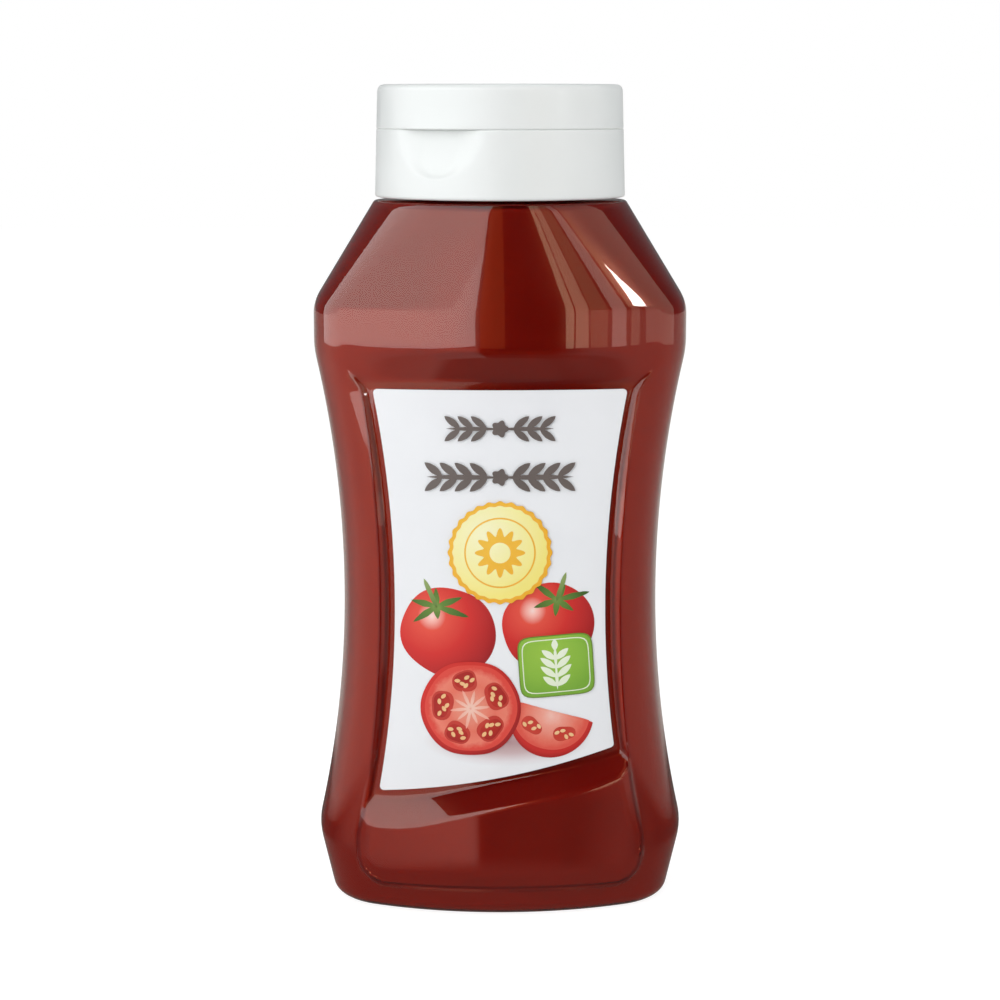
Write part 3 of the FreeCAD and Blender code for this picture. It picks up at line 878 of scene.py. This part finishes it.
# ---------------------------------------------------------------- print on the label
@dataclass(frozen=True)
class Ink:
    """A printed colour that runs outwards from a point, with a little grain."""

    name: str
    stops: Stops
    centre: Pair
    reach: Pair
    grain: float = 0.04
    grain_scale: float = 900.0
    roughness: Pair = (0.36, 0.48)

    def material(self) -> bpy.types.Material:
        """Builds the material."""
        graph = Graph(bpy.data.materials.new(self.name))
        shader = graph.add("ShaderNodeBsdfPrincipled", IOR=1.45)
        x, z = self.centre
        wide, high = self.reach
        place = graph.place((x * MM, 0.0, z * MM), (wide * MM, FAR, high * MM))
        length = graph.add("ShaderNodeVectorMath", operation="LENGTH")
        graph.link(place, "Vector", length, "Vector")
        uneven = graph.uneven(self.grain_scale / 4.0, self.grain_scale)
        shift = graph.add("ShaderNodeMath", operation="MULTIPLY_ADD")
        shift.inputs[1].default_value = self.grain
        graph.link(uneven, "Height", shift, 0)
        graph.link(length, "Value", shift, 2)
        graph.link(*graph.ramp((shift, 0), self.stops), shader, "Base Color")
        rough = graph.ranged((uneven, "Mask"), MASK_RANGE, self.roughness)
        graph.link(rough, "Result", shader, "Roughness")
        return graph.finish(shader)


@dataclass(frozen=True)
class Mark:
    """One printed shape: a rounded or pointed oval, waved or cut off flat if wanted.

    A power of 2 is an oval, below that a leaf, and well above it a rounded square.
    """

    x: float
    z: float
    width: float
    height: float
    turn: float = 0.0
    power: float = 2.0
    waves: int = 0
    wave: float = 0.0
    flat: float = 9.0  # share of the height above the middle at which the shape is cut off
    rim: int = 40
    cuts: int = 2

    def reach(self, angle: np.ndarray) -> np.ndarray:
        """Distance from the middle to the rim, before the turn."""
        across = np.abs(np.cos(angle)) / (self.width / 2.0)
        up = np.abs(np.sin(angle)) / (self.height / 2.0)
        plain = (across**self.power + up**self.power) ** (-1.0 / self.power)
        waved = plain * (1.0 + self.wave * np.cos(self.waves * angle))
        least = 0.01
        rise = np.maximum(np.sin(angle), least)
        limit = self.flat * self.height / 2.0 / rise
        return np.where(rise > least, np.minimum(waved, limit), waved)


# the inks' colours, from the middle of each ink outwards
INKS: dict[str, Stops] = {
    "shadow": ((0.0, (0.46, 0.27, 0.28)), (0.45, (0.62, 0.46, 0.47)), (0.8, (0.82, 0.78, 0.80)),
               (1.0, (0.875, 0.886, 0.908))),
    "skin": ((0.0, (1.0, 0.78, 0.74)), (0.07, (0.98, 0.52, 0.45)), (0.2, (0.80, 0.075, 0.045)),
             (0.5, (0.66, 0.018, 0.014)), (0.85, (0.42, 0.006, 0.008)), (1.0, (0.26, 0.003, 0.005))),
    "leaves": ((0.0, (0.30, 0.42, 0.10)), (0.35, (0.12, 0.24, 0.035)), (1.0, (0.045, 0.12, 0.015))),
    "stalk": ((0.0, (0.10, 0.20, 0.03)), (1.0, (0.32, 0.42, 0.14))),
    "half_skin": ((0.0, (0.70, 0.03, 0.02)), (0.8, (0.66, 0.02, 0.014)), (1.0, (0.36, 0.006, 0.006))),
    "half_flesh": ((0.0, (0.93, 0.50, 0.40)), (0.25, (0.86, 0.30, 0.21)), (0.62, (0.80, 0.17, 0.11)),
                   (0.86, (0.84, 0.22, 0.15)), (1.0, (0.74, 0.06, 0.04))),
    "half_pockets": ((0.0, (0.60, 0.05, 0.03)), (1.0, (0.50, 0.02, 0.015))),
    "half_gel": ((0.0, (0.46, 0.014, 0.008)), (0.5, (0.58, 0.03, 0.015)), (1.0, (0.40, 0.01, 0.006))),
    "half_seeds": ((0.0, (0.93, 0.66, 0.36)), (1.0, (0.86, 0.50, 0.22))),
    "half_core": ((0.0, (0.96, 0.66, 0.55)), (1.0, (0.90, 0.40, 0.30))),
    "wedge_skin": ((0.0, (0.72, 0.03, 0.02)), (0.85, (0.60, 0.016, 0.012)), (1.0, (0.34, 0.005, 0.005))),
    "wedge_face": ((0.0, (0.95, 0.60, 0.52)), (0.4, (0.88, 0.34, 0.26)), (0.8, (0.82, 0.18, 0.12)),
                   (1.0, (0.76, 0.09, 0.06))),
    "wedge_pockets": ((0.0, (0.52, 0.02, 0.012)), (1.0, (0.62, 0.05, 0.03))),
    "wedge_seeds": ((0.0, (0.93, 0.68, 0.38)), (1.0, (0.86, 0.52, 0.24))),
    "green": ((0.0, (0.34, 0.58, 0.06)), (0.6, (0.26, 0.50, 0.045)), (1.0, (0.19, 0.41, 0.035))),
    "dark": ((0.0, (0.10, 0.20, 0.02)), (1.0, (0.16, 0.28, 0.03))),
    "pale": ((0.0, (0.86, 0.92, 0.74)), (1.0, (0.80, 0.88, 0.66))),
    "orange": ((0.0, (0.93, 0.55, 0.05)), (1.0, (0.90, 0.44, 0.02))),
    "yellow": ((0.0, (0.98, 0.95, 0.62)), (0.5, (0.97, 0.90, 0.42)), (1.0, (0.95, 0.82, 0.22))),
    "grey": ((0.0, (0.115, 0.095, 0.088)), (1.0, (0.14, 0.115, 0.105))),
}
COARSE_GRAIN, FINE_GRAIN, CUT_GRAIN = 1500.0, 1800.0, 2200.0


@dataclass
class LabelPrint:
    """The print: an ornament for a title, a scalloped seal, tomatoes and a green badge.

    Places are across the label and up from the base, in millimetres, and turns are in degrees.
    """

    form: BottleForm
    thickness: float = 0.2
    layer_step: float = 0.014

    def build(self) -> None:
        """Prints every layer from the back to the front."""
        self.layer = 0
        x, z, width, height = 1.5, 39.8, 38.0, 11.2
        shadow = [Mark(x, z, width, height, rim=64, cuts=6)]
        self._print("print_shadow", (x, z), (width / 2.0, height / 2.0), shadow, 0.0, key="shadow")
        self._whole_tomato("tomato_left", -11.6, 65.0, 21.4, -24.0)
        self._whole_tomato("tomato_right", 10.8, 66.5, 20.6, 18.0)
        self._wedge(11.6, 45.8, 19.0, -16.0)
        self._half_tomato(-6.6, 47.6, 22.4)
        self._badge(12.6, 57.4, 16.4, 13.6, 4.0)
        self._seal(0.0, 83.2, 11.7)
        self._ornament()

    def _print(
        self, name: str, centre: Pair, reach: Pair, marks: Sequence[Mark], grain: float = Ink.grain,
        scale: float = Ink.grain_scale, key: str | None = None,
    ) -> None:
        """Prints marks of one ink as one thin piece on the label.

        Args:
            name: Name of the piece and its ink.
            centre: Where the ink's colours start.
            reach: How far they run, across and up.
            marks: The shapes.
            grain: How strongly the ink is grained.
            scale: How fine the grain is.
            key: The ink's name in the table, where it isn't the piece's.
        """
        self.layer += 1
        pieces = []
        for mark in marks:
            deselect()
            bpy.ops.mesh.primitive_circle_add(vertices=mark.rim, radius=1.0, fill_type="TRIFAN")
            piece = bpy.context.object
            bpy.ops.object.mode_set(mode="EDIT")
            bpy.ops.mesh.select_all(action="SELECT")
            bpy.ops.mesh.subdivide(number_cuts=mark.cuts)
            bpy.ops.object.mode_set(mode="OBJECT")
            self._lay(piece, mark)
            pieces.append(piece)
        deselect()
        for piece in pieces:
            piece.select_set(True)
        bpy.context.view_layer.objects.active = pieces[0]
        if len(pieces) > 1:
            bpy.ops.object.join()
        whole = bpy.context.object
        whole.name = name
        bpy.ops.object.shade_smooth()
        whole.data.materials.append(Ink(name, INKS[key or name], centre, reach, grain, scale).material())
        finish_piece(whole, "label_paper")

    def _lay(self, piece: bpy.types.Object, mark: Mark) -> None:
        """Shapes a flat round piece as a mark and lays it on the label's curve."""
        flat = np.empty(len(piece.data.vertices) * 3)
        piece.data.vertices.foreach_get("co", flat)
        u, v = flat.reshape(-1, 3)[:, 0], flat.reshape(-1, 3)[:, 1]
        angle, share = np.arctan2(v, u), np.hypot(u, v)
        sector, tiny, middle = 2.0 * math.pi / mark.rim, 1e-6, 1e-9
        start = np.floor((angle + sector * tiny) / sector) * sector
        part = (angle - start) / sector
        chord = np.cos(sector / 2.0) / np.cos((part - 0.5) * sector)
        low, high = mark.reach(start), mark.reach(start + sector)
        reach = (low + (high - low) * part) * share / np.maximum(chord, middle)
        radius = np.where(share < middle, 0.0, reach * chord)
        turn = math.radians(mark.turn)
        x = mark.x + radius * np.cos(angle + turn)
        z = mark.z + radius * np.sin(angle + turn)
        y = -(self.form.floor_depth(x) + self.thickness + self.layer_step * self.layer)
        piece.data.vertices.foreach_set("co", (np.stack([x, y, z], 1) * MM).ravel())

    def _whole_tomato(self, name: str, x: float, z: float, size: float, turn: float) -> None:
        """A whole tomato with its star of leaves and its stalk.

        Args:
            name: Name of the piece.
            x: Middle across the label.
            z: Middle height.
            size: Width.
            turn: Degrees by which the fruit leans.
        """
        body = Mark(x, z, size, 0.93 * size, turn, 2.15, 5, 0.012, rim=72, cuts=5)
        gleam_at = (x - 0.17 * size, z + 0.17 * size)
        self._print(name, gleam_at, (0.78 * size, 0.82 * size), [body], 0.02, key="skin")
        name, leaf = f"{name}_leaves", 0.36 * size
        stalk_turn = 90.0 - turn
        up = math.radians(stalk_turn)
        x, z = x + 0.30 * size * math.cos(up), z + 0.30 * size * math.sin(up)
        leaves = []
        lengths = (1.0, 0.82, 1.08, 0.74, 0.96, 0.7)
        for i, length in enumerate(lengths):
            angle = math.radians(turn + i * 360.0 / len(lengths) + 9.0 * math.sin(5.0 * i))
            across, rise = math.cos(angle), math.sin(angle)
            reach = length * leaf * (0.55 + 0.45 * abs(across))
            leaf_turn = math.degrees(math.atan2(0.72 * rise, across))
            place = (x + 0.5 * reach * across, z + 0.36 * reach * rise)
            leaves.append(Mark(*place, reach * 1.1, 0.2 * leaf, leaf_turn, 1.25, rim=24))
        self._print(name, (x, z), (leaf, leaf), leaves, 0.25, key="leaves")
        place = (x + 0.42 * leaf * math.cos(up), z + 0.42 * leaf * math.sin(up))
        stalk = Mark(*place, 0.95 * leaf, 0.13 * leaf, stalk_turn, 4.0, rim=24)
        self._print(f"{name}_stalk", (x, z), (leaf, leaf), [stalk], 0.1, key="stalk")

    @staticmethod
    def _seeds(places: Sequence[tuple[float, float, float]], size: float) -> list[Mark]:
        """Seed marks at places, each with its turn."""
        return [Mark(x, z, size, 0.62 * size, turn, 1.8, rim=12, cuts=1) for x, z, turn in places]

    def _half_tomato(self, x: float, z: float, size: float) -> None:
        """A halved tomato that shows its cut face.

        Args:
            x: Middle across the label.
            z: Middle height.
            size: Width.
        """
        at, half = (x, z), (0.5 * size, 0.5 * size)
        skin = Mark(x, z, size, 0.97 * size, 0.0, 2.1, 6, 0.01, rim=72, cuts=5)
        self._print("half_skin", (x - 1.0, z + 1.2), (0.56 * size, 0.56 * size), [skin])
        flesh = Mark(x + 0.1, z + 0.1, 0.92 * size, 0.89 * size, 0.0, 2.1, 6, 0.012, rim=72, cuts=5)
        self._print("half_flesh", at, (0.47 * size, 0.46 * size), [flesh], 0.16, CUT_GRAIN)
        pockets, gels, seeds = [], [], []
        widths = ((0.0, 1.0), (0.21, 0.86), (0.41, 1.06), (0.60, 0.9), (0.80, 1.0))
        spots = ((-0.085, 0.0), (-0.03, 0.035), (0.035, -0.02), (0.085, 0.02), (0.0, -0.045))
        for i, (share, width) in enumerate(widths):
            angle = 2.0 * math.pi * share + 0.45
            way = np.array([math.cos(angle), math.sin(angle)])
            side = np.array([-way[1], way[0]])
            middle = np.array(at) + way * 0.285 * size
            inner = middle + way * 0.01 * size
            turn = math.degrees(angle) + 90.0
            wide, high = 0.285 * size * width, 0.215 * size
            pockets.append(Mark(*middle, wide, high, turn, 2.6, 3, 0.05, rim=32, cuts=3))
            gels.append(Mark(*inner, 0.235 * size * width, 0.16 * size, turn, 2.6, 3, 0.06, rim=32))
            for j, (along, out) in enumerate(spots):
                spot = middle + side * along * size * width + way * out * size
                seeds.append((spot[0], spot[1], turn + 40.0 * math.sin(2.3 * (i + 2 * j))))
        self._print("half_pockets", at, (size, size), pockets, 0.3, COARSE_GRAIN)
        self._print("half_gel", at, half, gels, 0.5, FINE_GRAIN)
        self._print("half_seeds", at, half, self._seeds(seeds, 0.062 * size), 0.4)
        rays = []
        count = 10
        for i in range(count):
            angle = 2.0 * math.pi * i / count + 0.1
            reach = (0.10 + 0.035 * math.sin(3.1 * i)) * size
            place = (x + reach * math.cos(angle), z + reach * math.sin(angle))
            rays.append(Mark(*place, 1.9 * reach, 0.035 * size, math.degrees(angle), 1.3, rim=16, cuts=1))
        self._print("half_core", at, (0.2 * size, 0.2 * size), rays, 0.2)

    def _wedge(self, x: float, z: float, size: float, turn: float) -> None:
        """A cut wedge that lies on its skin.

        Args:
            x: Middle of its straight edge across the label.
            z: Height of that edge.
            size: Length of that edge.
            turn: Degrees by which it leans.
        """
        at, half = (x, z), (0.5 * size, 0.5 * size)
        rim = Mark(x, z, size, 1.02 * size, turn, 2.0, flat=0.12, rim=72, cuts=5)
        self._print("wedge_skin", at, (0.56 * size, 0.54 * size), [rim])
        face = Mark(x, z + 0.02 * size, 0.91 * size, 0.86 * size, turn, 2.1, flat=0.10, rim=72, cuts=5)
        self._print("wedge_face", at, (0.46 * size, 0.44 * size), [face], 0.18, CUT_GRAIN)
        lean = math.radians(turn)
        along = np.array([math.cos(lean), math.sin(lean)])
        down = np.array([math.sin(lean), -math.cos(lean)])
        spots = ((-0.08, 0.01), (-0.02, -0.03), (0.04, 0.03), (0.09, -0.01))
        pockets, seeds = [], []
        for side in (-1.0, 1.0):
            middle = np.array(at) + along * side * 0.2 * size + down * 0.17 * size
            pocket_turn = turn + side * 24.0
            pockets.append(Mark(*middle, 0.27 * size, 0.17 * size, pocket_turn, 2.4, 3, 0.06, rim=32, cuts=3))
            for j, (a, d) in enumerate(spots):
                spot = middle + along * a * size + down * d * size
                seeds.append((spot[0], spot[1], turn + 50.0 * math.sin(1.7 * j + side)))
        self._print("wedge_pockets", at, half, pockets, 0.4, COARSE_GRAIN)
        self._print("wedge_seeds", at, half, self._seeds(seeds, 0.068 * size), 0.4)

    def _badge(self, x: float, z: float, width: float, height: float, turn: float) -> None:
        """A green badge with a pale line round it and a leafy sprig.

        Args:
            x: Middle across the label.
            z: Middle height.
            width: Its width.
            height: Its height.
            turn: Degrees by which it is turned.
        """
        centre, reach = (x - 0.1 * width, z + 0.2 * height), (0.7 * width, 0.7 * height)
        for part, key, less in (
            ("edge", "dark", -0.5),
            ("body", "green", 0.0),
            ("line", "pale", 1.3),
            ("inner", "green", 1.75),
        ):
            mark = Mark(x, z, width - less, height - less, turn, 7.0, rim=72, cuts=4)
            self._print(f"badge_{part}", centre, reach, [mark], 0.03, key=key)
        sprig = []
        pairs = 4
        for i in range(pairs + 1):
            top = i == pairs
            rise = (i - 2) * 0.15 * height
            length = (4.6 - 0.5 * abs(i - 1.4)) * (0.8 if top else 1.0)
            foot_x, foot_z = x - rise * math.sin(math.radians(turn)), z + rise - 0.6
            for lean in (90.0,) if top else (142.0, 38.0):
                angle = math.radians(lean + turn)
                place = (foot_x + 0.5 * length * math.cos(angle), foot_z + 0.5 * length * math.sin(angle))
                sprig.append(Mark(*place, length, 1.5, lean + turn, 1.45, rim=24))
        sprig.append(Mark(x, z - 0.5, 0.45, 0.74 * height, turn, 5.0, rim=24))
        self._print("badge_sprig", centre, reach, sprig, 0.03, key="pale")

    def _seal(self, x: float, z: float, radius: float) -> None:
        """A pale yellow seal with a scalloped orange edge and a sun in the middle.

        Args:
            x: Middle across the label.
            z: Middle height.
            radius: Radius over the scallops.
        """
        reach = (1.25 * radius, 1.25 * radius)
        centre = (x - 0.3 * radius, z + 0.35 * radius)
        for part, key, share, waves, wave, rim, cuts in (
            ("edge", "orange", 1.96, 28, 0.02, 168, 3),
            ("body", "yellow", 1.80, 28, 0.012, 168, 3),
            ("ring", "orange", 1.36, 0, 0.0, 96, 4),
            ("field", "yellow", 1.30, 0, 0.0, 96, 4),
            ("sun", "orange", 0.80, 12, 0.20, 144, 2),
            ("heart", "yellow", 0.40, 0, 0.0, 48, 2),
        ):
            size = share * radius
            mark = Mark(x, z, size, size, 0.0, 2.0, waves, wave, rim=rim, cuts=cuts)
            self._print(f"seal_{part}", centre, reach, [mark], 0.02, key=key)

    def _ornament(self) -> None:
        """Two rows of grey leaves in the place of a title."""
        marks = []
        pace, clear, turn = 0.52, 2.6, 38.0
        lean = math.radians(turn)
        for z, half, leaf in ((111.0, 12.0, 5.6), (100.2, 16.4, 6.4)):
            marks.append(Mark(0.0, z, 2.0 * half, 0.42, 0.0, 6.0, rim=48, cuts=4))
            for i in range(int(half / (pace * leaf))):
                at = half - (i + 0.75) * pace * leaf
                if at < clear:
                    continue
                for side, up in ((-1.0, -1.0), (-1.0, 1.0), (1.0, -1.0), (1.0, 1.0)):
                    x = side * (at + 0.42 * leaf * math.cos(lean) - 0.2 * leaf)
                    rise = up * 0.42 * leaf * math.sin(lean)
                    marks.append(Mark(x, z + rise, 0.78 * leaf, 0.27 * leaf, side * up * turn, 1.5, rim=24))
            marks.append(Mark(0.0, z, 3.4, 3.4, 0.0, 2.0, 5, 0.16, rim=60))
        self._print("title_ornament", (0.0, 105.0), (16.0, 12.0), marks, 0.2, key="grey")


# ---------------------------------------------------------------- studio
class LampUse(Enum):
    """What a lamp is for: to light surfaces, or to show in their gloss."""

    LIGHT = "light"
    GLEAM = "gleam"


# painted reflection: how brightly the floor glows for rays reflected off the bottle, by direction,
# as shares of a turn from the back through the left, the front and the right
FAR_GLEAM = (
    (0.0, 0.5), (0.14, 0.5), (0.22, 0.85), (0.475, 0.75), (0.479, 0.03),
    (0.56, 0.03), (0.60, 0.5), (0.78, 0.55), (1.0, 0.5),
)
# the same painted reflection close to the foot
NEAR_GLEAM = (
    (0.0, 0.1), (0.26, 0.12), (0.34, 0.5), (0.475, 0.8), (0.479, 0.10),
    (0.58, 0.12), (0.62, 0.3), (0.70, 0.15), (1.0, 0.1),
)
PAINTED_FLOOR_GLEAM_TINT: Colour = (1.0, 0.93, 0.86)
UNDER_GLEAM: Colour = (0.26, 0.24, 0.22)  # painted darker reflection right beside the foot
UNDER_EDGE, NEAR_EDGE = (0.065, 0.075), (0.14, 0.18)  # metres from the axis
PLAIN_WHITE: Colour = (1.0, 1.0, 1.0)
COOL_WHITE: Colour = (0.95, 0.98, 1.0)
PAINTED_SAUCE_GLEAM_TINT: Colour = (4.4, 1.15, 0.6)  # painted reflection: a warm, brighter tint on the floor's glow where it is seen through the wall on the sauce
AMBIENT = 0.42
BACK_EDGE, BACK_GLEAM = (0.1, 0.8), (0.04, 0.16)  # how far back the world is paler in gloss


@dataclass
class Studio:
    """Pale floor, white backdrop, soft lamps and the camera.

    Lengths are in metres, and the camera's sensor is in millimetres. Azimuths and elevations are in
    degrees.
    """

    distance: float = 0.556
    eye_level: float = 0.1823
    tilt: float = 9.3
    focal_share: float = 2.436  # focal length over the picture's width
    sensor: float = 36.0
    aim: float = 0.09  # height at which the lamps point
    floor_size: float = 6.0
    floor_drop: float = 0.0002
    floor_lit: float = 0.8  # grey of the floor that lights the bottle from below
    floor_seen: float = 0.35  # grey of the floor in the picture
    floor_glow: float = 0.86  # added there
    band_distance: float = 1.0
    band_elevation: float = 14.0
    band_height: float = 1.5
    # upright bands on the right: name, first and last azimuth, radiance, tint
    bands: tuple[tuple[str, float, float, float, Colour], ...] = (
        ("band_faint", -7.5, 2.0, 0.9, (1.0, 0.2, 0.05)),
        ("band_thin", 24.6, 27.8, 2.6, (1.0, 0.75, 0.5)),
        ("band_first", 28.3, 33.5, 2.3, (1.0, 0.72, 0.5)),
        ("band_second", 34.0, 41.0, 0.8, (1.0, 0.7, 0.42)),
        ("band_pale", 42.5, 48.5, 2.0, (1.0, 0.8, 0.72)),
        ("band_third", 50.0, 54.0, 1.0, (1.0, 0.75, 0.55)),
        ("band_wide", 55.5, 104.0, 0.95, (1.0, 0.82, 0.7)),
    )

    def build(self) -> None:
        """Makes the whole studio."""
        self._camera()
        self._floor()
        self._world()
        self._lamps()
        bpy.context.scene.view_settings.view_transform = "Standard"

    def _camera(self) -> None:
        """Adds the camera."""
        data = bpy.data.cameras.new("camera")
        data.sensor_width = self.sensor
        data.lens = self.sensor * self.focal_share
        data.clip_start = 0.01
        camera = bpy.data.objects.new("camera", data)
        bpy.context.scene.collection.objects.link(camera)
        camera.location = (0.0, -self.distance, self.eye_level)
        camera.rotation_euler = (math.radians(90.0 - self.tilt), 0.0, 0.0)
        bpy.context.scene.camera = camera

    def _floor(self) -> None:
        """Adds the floor that the bottle stands on."""
        deselect()
        cells, place = 8, (0.0, 0.0, -self.floor_drop)
        bpy.ops.mesh.primitive_grid_add(
            x_subdivisions=cells, y_subdivisions=cells, size=self.floor_size, location=place
        )
        floor = bpy.context.object
        floor.name = "floor"
        bpy.ops.object.transform_apply(location=True, rotation=True, scale=True)
        graph = Graph(bpy.data.materials.new("pale_floor"))
        path = graph.add("ShaderNodeLightPath")
        lighting, seen = (
            graph.add("ShaderNodeBsdfDiffuse", Color=(grey, grey, grey, 1.0))
            for grey in (self.floor_lit, self.floor_seen)
        )
        both = graph.add("ShaderNodeAddShader")
        graph.link(seen, 0, both, 0)
        graph.link(graph.add("ShaderNodeEmission", Strength=self.floor_glow), 0, both, 1)
        # after a gloss bounce the floor is a painted reflection glow, and for other rays it is a diffuse grey
        hidden = graph.blend(graph.over((path, "Glossy Depth")), lighting, self._painted_floor_reflection(graph))
        floor.data.materials.append(graph.finish(graph.blend((path, "Is Camera Ray"), hidden, both)))

    @staticmethod
    def _painted_floor_reflection(graph: Graph) -> bpy.types.Node:
        """A painted reflection: a glow that the floor shows only in gloss, pale under the lamps and close by,
        dark straight in front.

        Args:
            graph: The floor's material.

        Returns:
            The shader.
        """
        coordinates, split = graph.add("ShaderNodeTexCoord"), graph.add("ShaderNodeSeparateXYZ")
        graph.link(coordinates, "Object", split, "Vector")
        forward = graph.add("ShaderNodeMath", operation="MULTIPLY")
        forward.inputs[1].default_value = -1.0
        graph.link(split, "Y", forward, 0)
        angle = graph.add("ShaderNodeMath", operation="ARCTAN2")
        graph.link(split, "X", angle, 0)
        graph.link(forward, 0, angle, 1)
        turn = (graph.ranged((angle, 0), (-math.pi, math.pi)), "Result")
        length = graph.add("ShaderNodeVectorMath", operation="LENGTH")
        graph.link(coordinates, "Object", length, "Vector")
        away = (length, "Value")
        far, near = (
            graph.ramp(turn, [(at, tuple(level * c for c in PAINTED_FLOOR_GLEAM_TINT)) for at, level in gleam])
            for gleam in (FAR_GLEAM, NEAR_GLEAM)
        )
        under = graph.mixed(UNDER_GLEAM, near, (graph.ranged(away, UNDER_EDGE), "Result"))
        lit = graph.mixed(under, far, (graph.ranged(away, NEAR_EDGE), "Result"))
        # painted reflection: the floor's glow is made warmer and brighter for rays that came through the wall
        inside = graph.over((graph.add("ShaderNodeLightPath"), "Transmission Depth"))
        tint = graph.mixed(PLAIN_WHITE, PAINTED_SAUCE_GLEAM_TINT, inside)
        glow = graph.add("ShaderNodeEmission", Strength=1.0)
        graph.link(*graph.mixed(lit, tint, blend="MULTIPLY"), glow, "Color")
        return glow

    @staticmethod
    def _world() -> None:
        """White for what is seen directly or through the wall, dim for what is reflected."""
        world = bpy.data.worlds.new("studio")
        bpy.context.scene.world = world
        graph = Graph(world, "ShaderNodeOutputWorld")
        path, split = graph.add("ShaderNodeLightPath"), graph.add("ShaderNodeSeparateXYZ")
        seen = graph.add("ShaderNodeMath", operation="MAXIMUM")
        graph.link(path, "Is Camera Ray", seen, 0)
        graph.link(path, "Is Transmission Ray", seen, 1)
        mirrored = graph.over((path, "Glossy Depth"))
        direct = graph.add("ShaderNodeMath", operation="SUBTRACT", use_clamp=True)
        graph.link(seen, 0, direct, 0)
        graph.link(*mirrored, direct, 1)
        graph.link(graph.add("ShaderNodeTexCoord"), "Generated", split, "Vector")
        level = graph.ranged(mirrored, (0.0, 1.0), (AMBIENT, 0.0))
        graph.link(graph.ranged((split, "Y"), BACK_EDGE, BACK_GLEAM), "Result", level, "To Max")
        dim = graph.add("ShaderNodeBackground", Color=(*COOL_WHITE, 1.0))
        graph.link(level, "Result", dim, "Strength")
        white = graph.add("ShaderNodeBackground", Color=(*PLAIN_WHITE, 1.0))
        graph.finish(graph.blend((direct, 0), dim, white))

    def _lamp(
        self, name: str, azimuth: float, elevation: float, distance: float, size: Pair, radiance: float,
        use: LampUse,
    ) -> bpy.types.Object:
        """Adds one square lamp that faces the bottle.

        Args:
            name: Its name.
            azimuth: Degrees from the front to the lamp, plus is to the right.
            elevation: Degrees above the middle of the bottle.
            distance: Metres from the middle of the bottle.
            size: Width and height in metres.
            radiance: How bright its face is, where 1 is white.
            use: Whether it lights surfaces or shows in their gloss.

        Returns:
            The lamp.
        """
        data = bpy.data.lights.new(name, "AREA")
        data.shape = "RECTANGLE"
        data.size, data.size_y = size
        data.energy = radiance * math.pi * size[0] * size[1]
        lamp = bpy.data.objects.new(name, data)
        bpy.context.scene.collection.objects.link(lamp)
        a, e = math.radians(azimuth), math.radians(elevation)
        way = Vector((math.sin(a) * math.cos(e), -math.cos(a) * math.cos(e), math.sin(e)))
        lamp.location = Vector((0.0, 0.0, self.aim)) + way * distance
        lamp.rotation_euler = way.to_track_quat("Z", "Y").to_euler()
        lamp.visible_camera = False
        lamp.visible_glossy = lamp.visible_transmission = use is LampUse.GLEAM
        lamp.visible_diffuse = use is LampUse.LIGHT
        return lamp

    def _lamps(self) -> None:
        """Adds the lamps: a wide box on the left, and warm upright bands and a spark on the right."""
        # name, azimuth, elevation, distance, size, radiance and use
        self._lamp("left_softbox", -60.0, 12.0, 0.8, (2.05, 1.6), 2.4, LampUse.GLEAM)
        self._lamp("left_light", -38.0, 25.0, 1.2, (1.2, 1.2), 1.9, LampUse.LIGHT)
        for name, start, end, radiance, tint in self.bands:
            middle, half = (start + end) / 2.0, math.radians(end - start) / 2.0
            size = (2.0 * self.band_distance * math.tan(half), self.band_height)
            place = (middle, self.band_elevation, self.band_distance)
            lamp = self._lamp(name, *place, size, radiance, LampUse.GLEAM)
            lamp.data.color = tint
        self._lamp("spark", 55.3, 20.2, 0.348, (0.030, 0.022), 34.0, LampUse.GLEAM)
        self._lamp("right_light", 95.0, 15.0, 1.2, (1.0, 1.0), 2.0, LampUse.LIGHT)
        self._lamp("top_light", -10.0, 80.0, 1.2, (1.0, 1.0), 0.8, LampUse.LIGHT)


def dress_node(node: str, material: bpy.types.Material) -> None:
    """Gives a kept node its finish."""
    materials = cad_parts[node].data.materials
    materials.clear()
    materials.append(material)


def main() -> None:
    """Builds every sub-assembly in order."""
    logging.basicConfig(level=logging.INFO, format="%(message)s")
    form = BottleForm()
    bottle, cap = Bottle(form), Cap()
    plastic = WHITE_PLASTIC.material()
    for build, material, slot, node in (
        (bottle.build_wall, CLEAR_WALL.material(), "clear_wall", "bottle"),
        (bottle.build_ketchup, KETCHUP_SAUCE.material(), "ketchup", "ketchup"),
        (cap.build_base, plastic, "cap_plastic", "cap_base"),
        (cap.build_lid, plastic, "cap_plastic", "cap_lid"),
    ):
        piece = build()
        piece.data.materials.append(material)
        finish_piece(piece, slot, node)
    paper = COATED_PAPER.material()
    for node in ("label_front", "label_back"):
        dress_node(node, paper)
    LabelPrint(form).build()
    Studio().build()


if __name__ == "__main__":
    main()
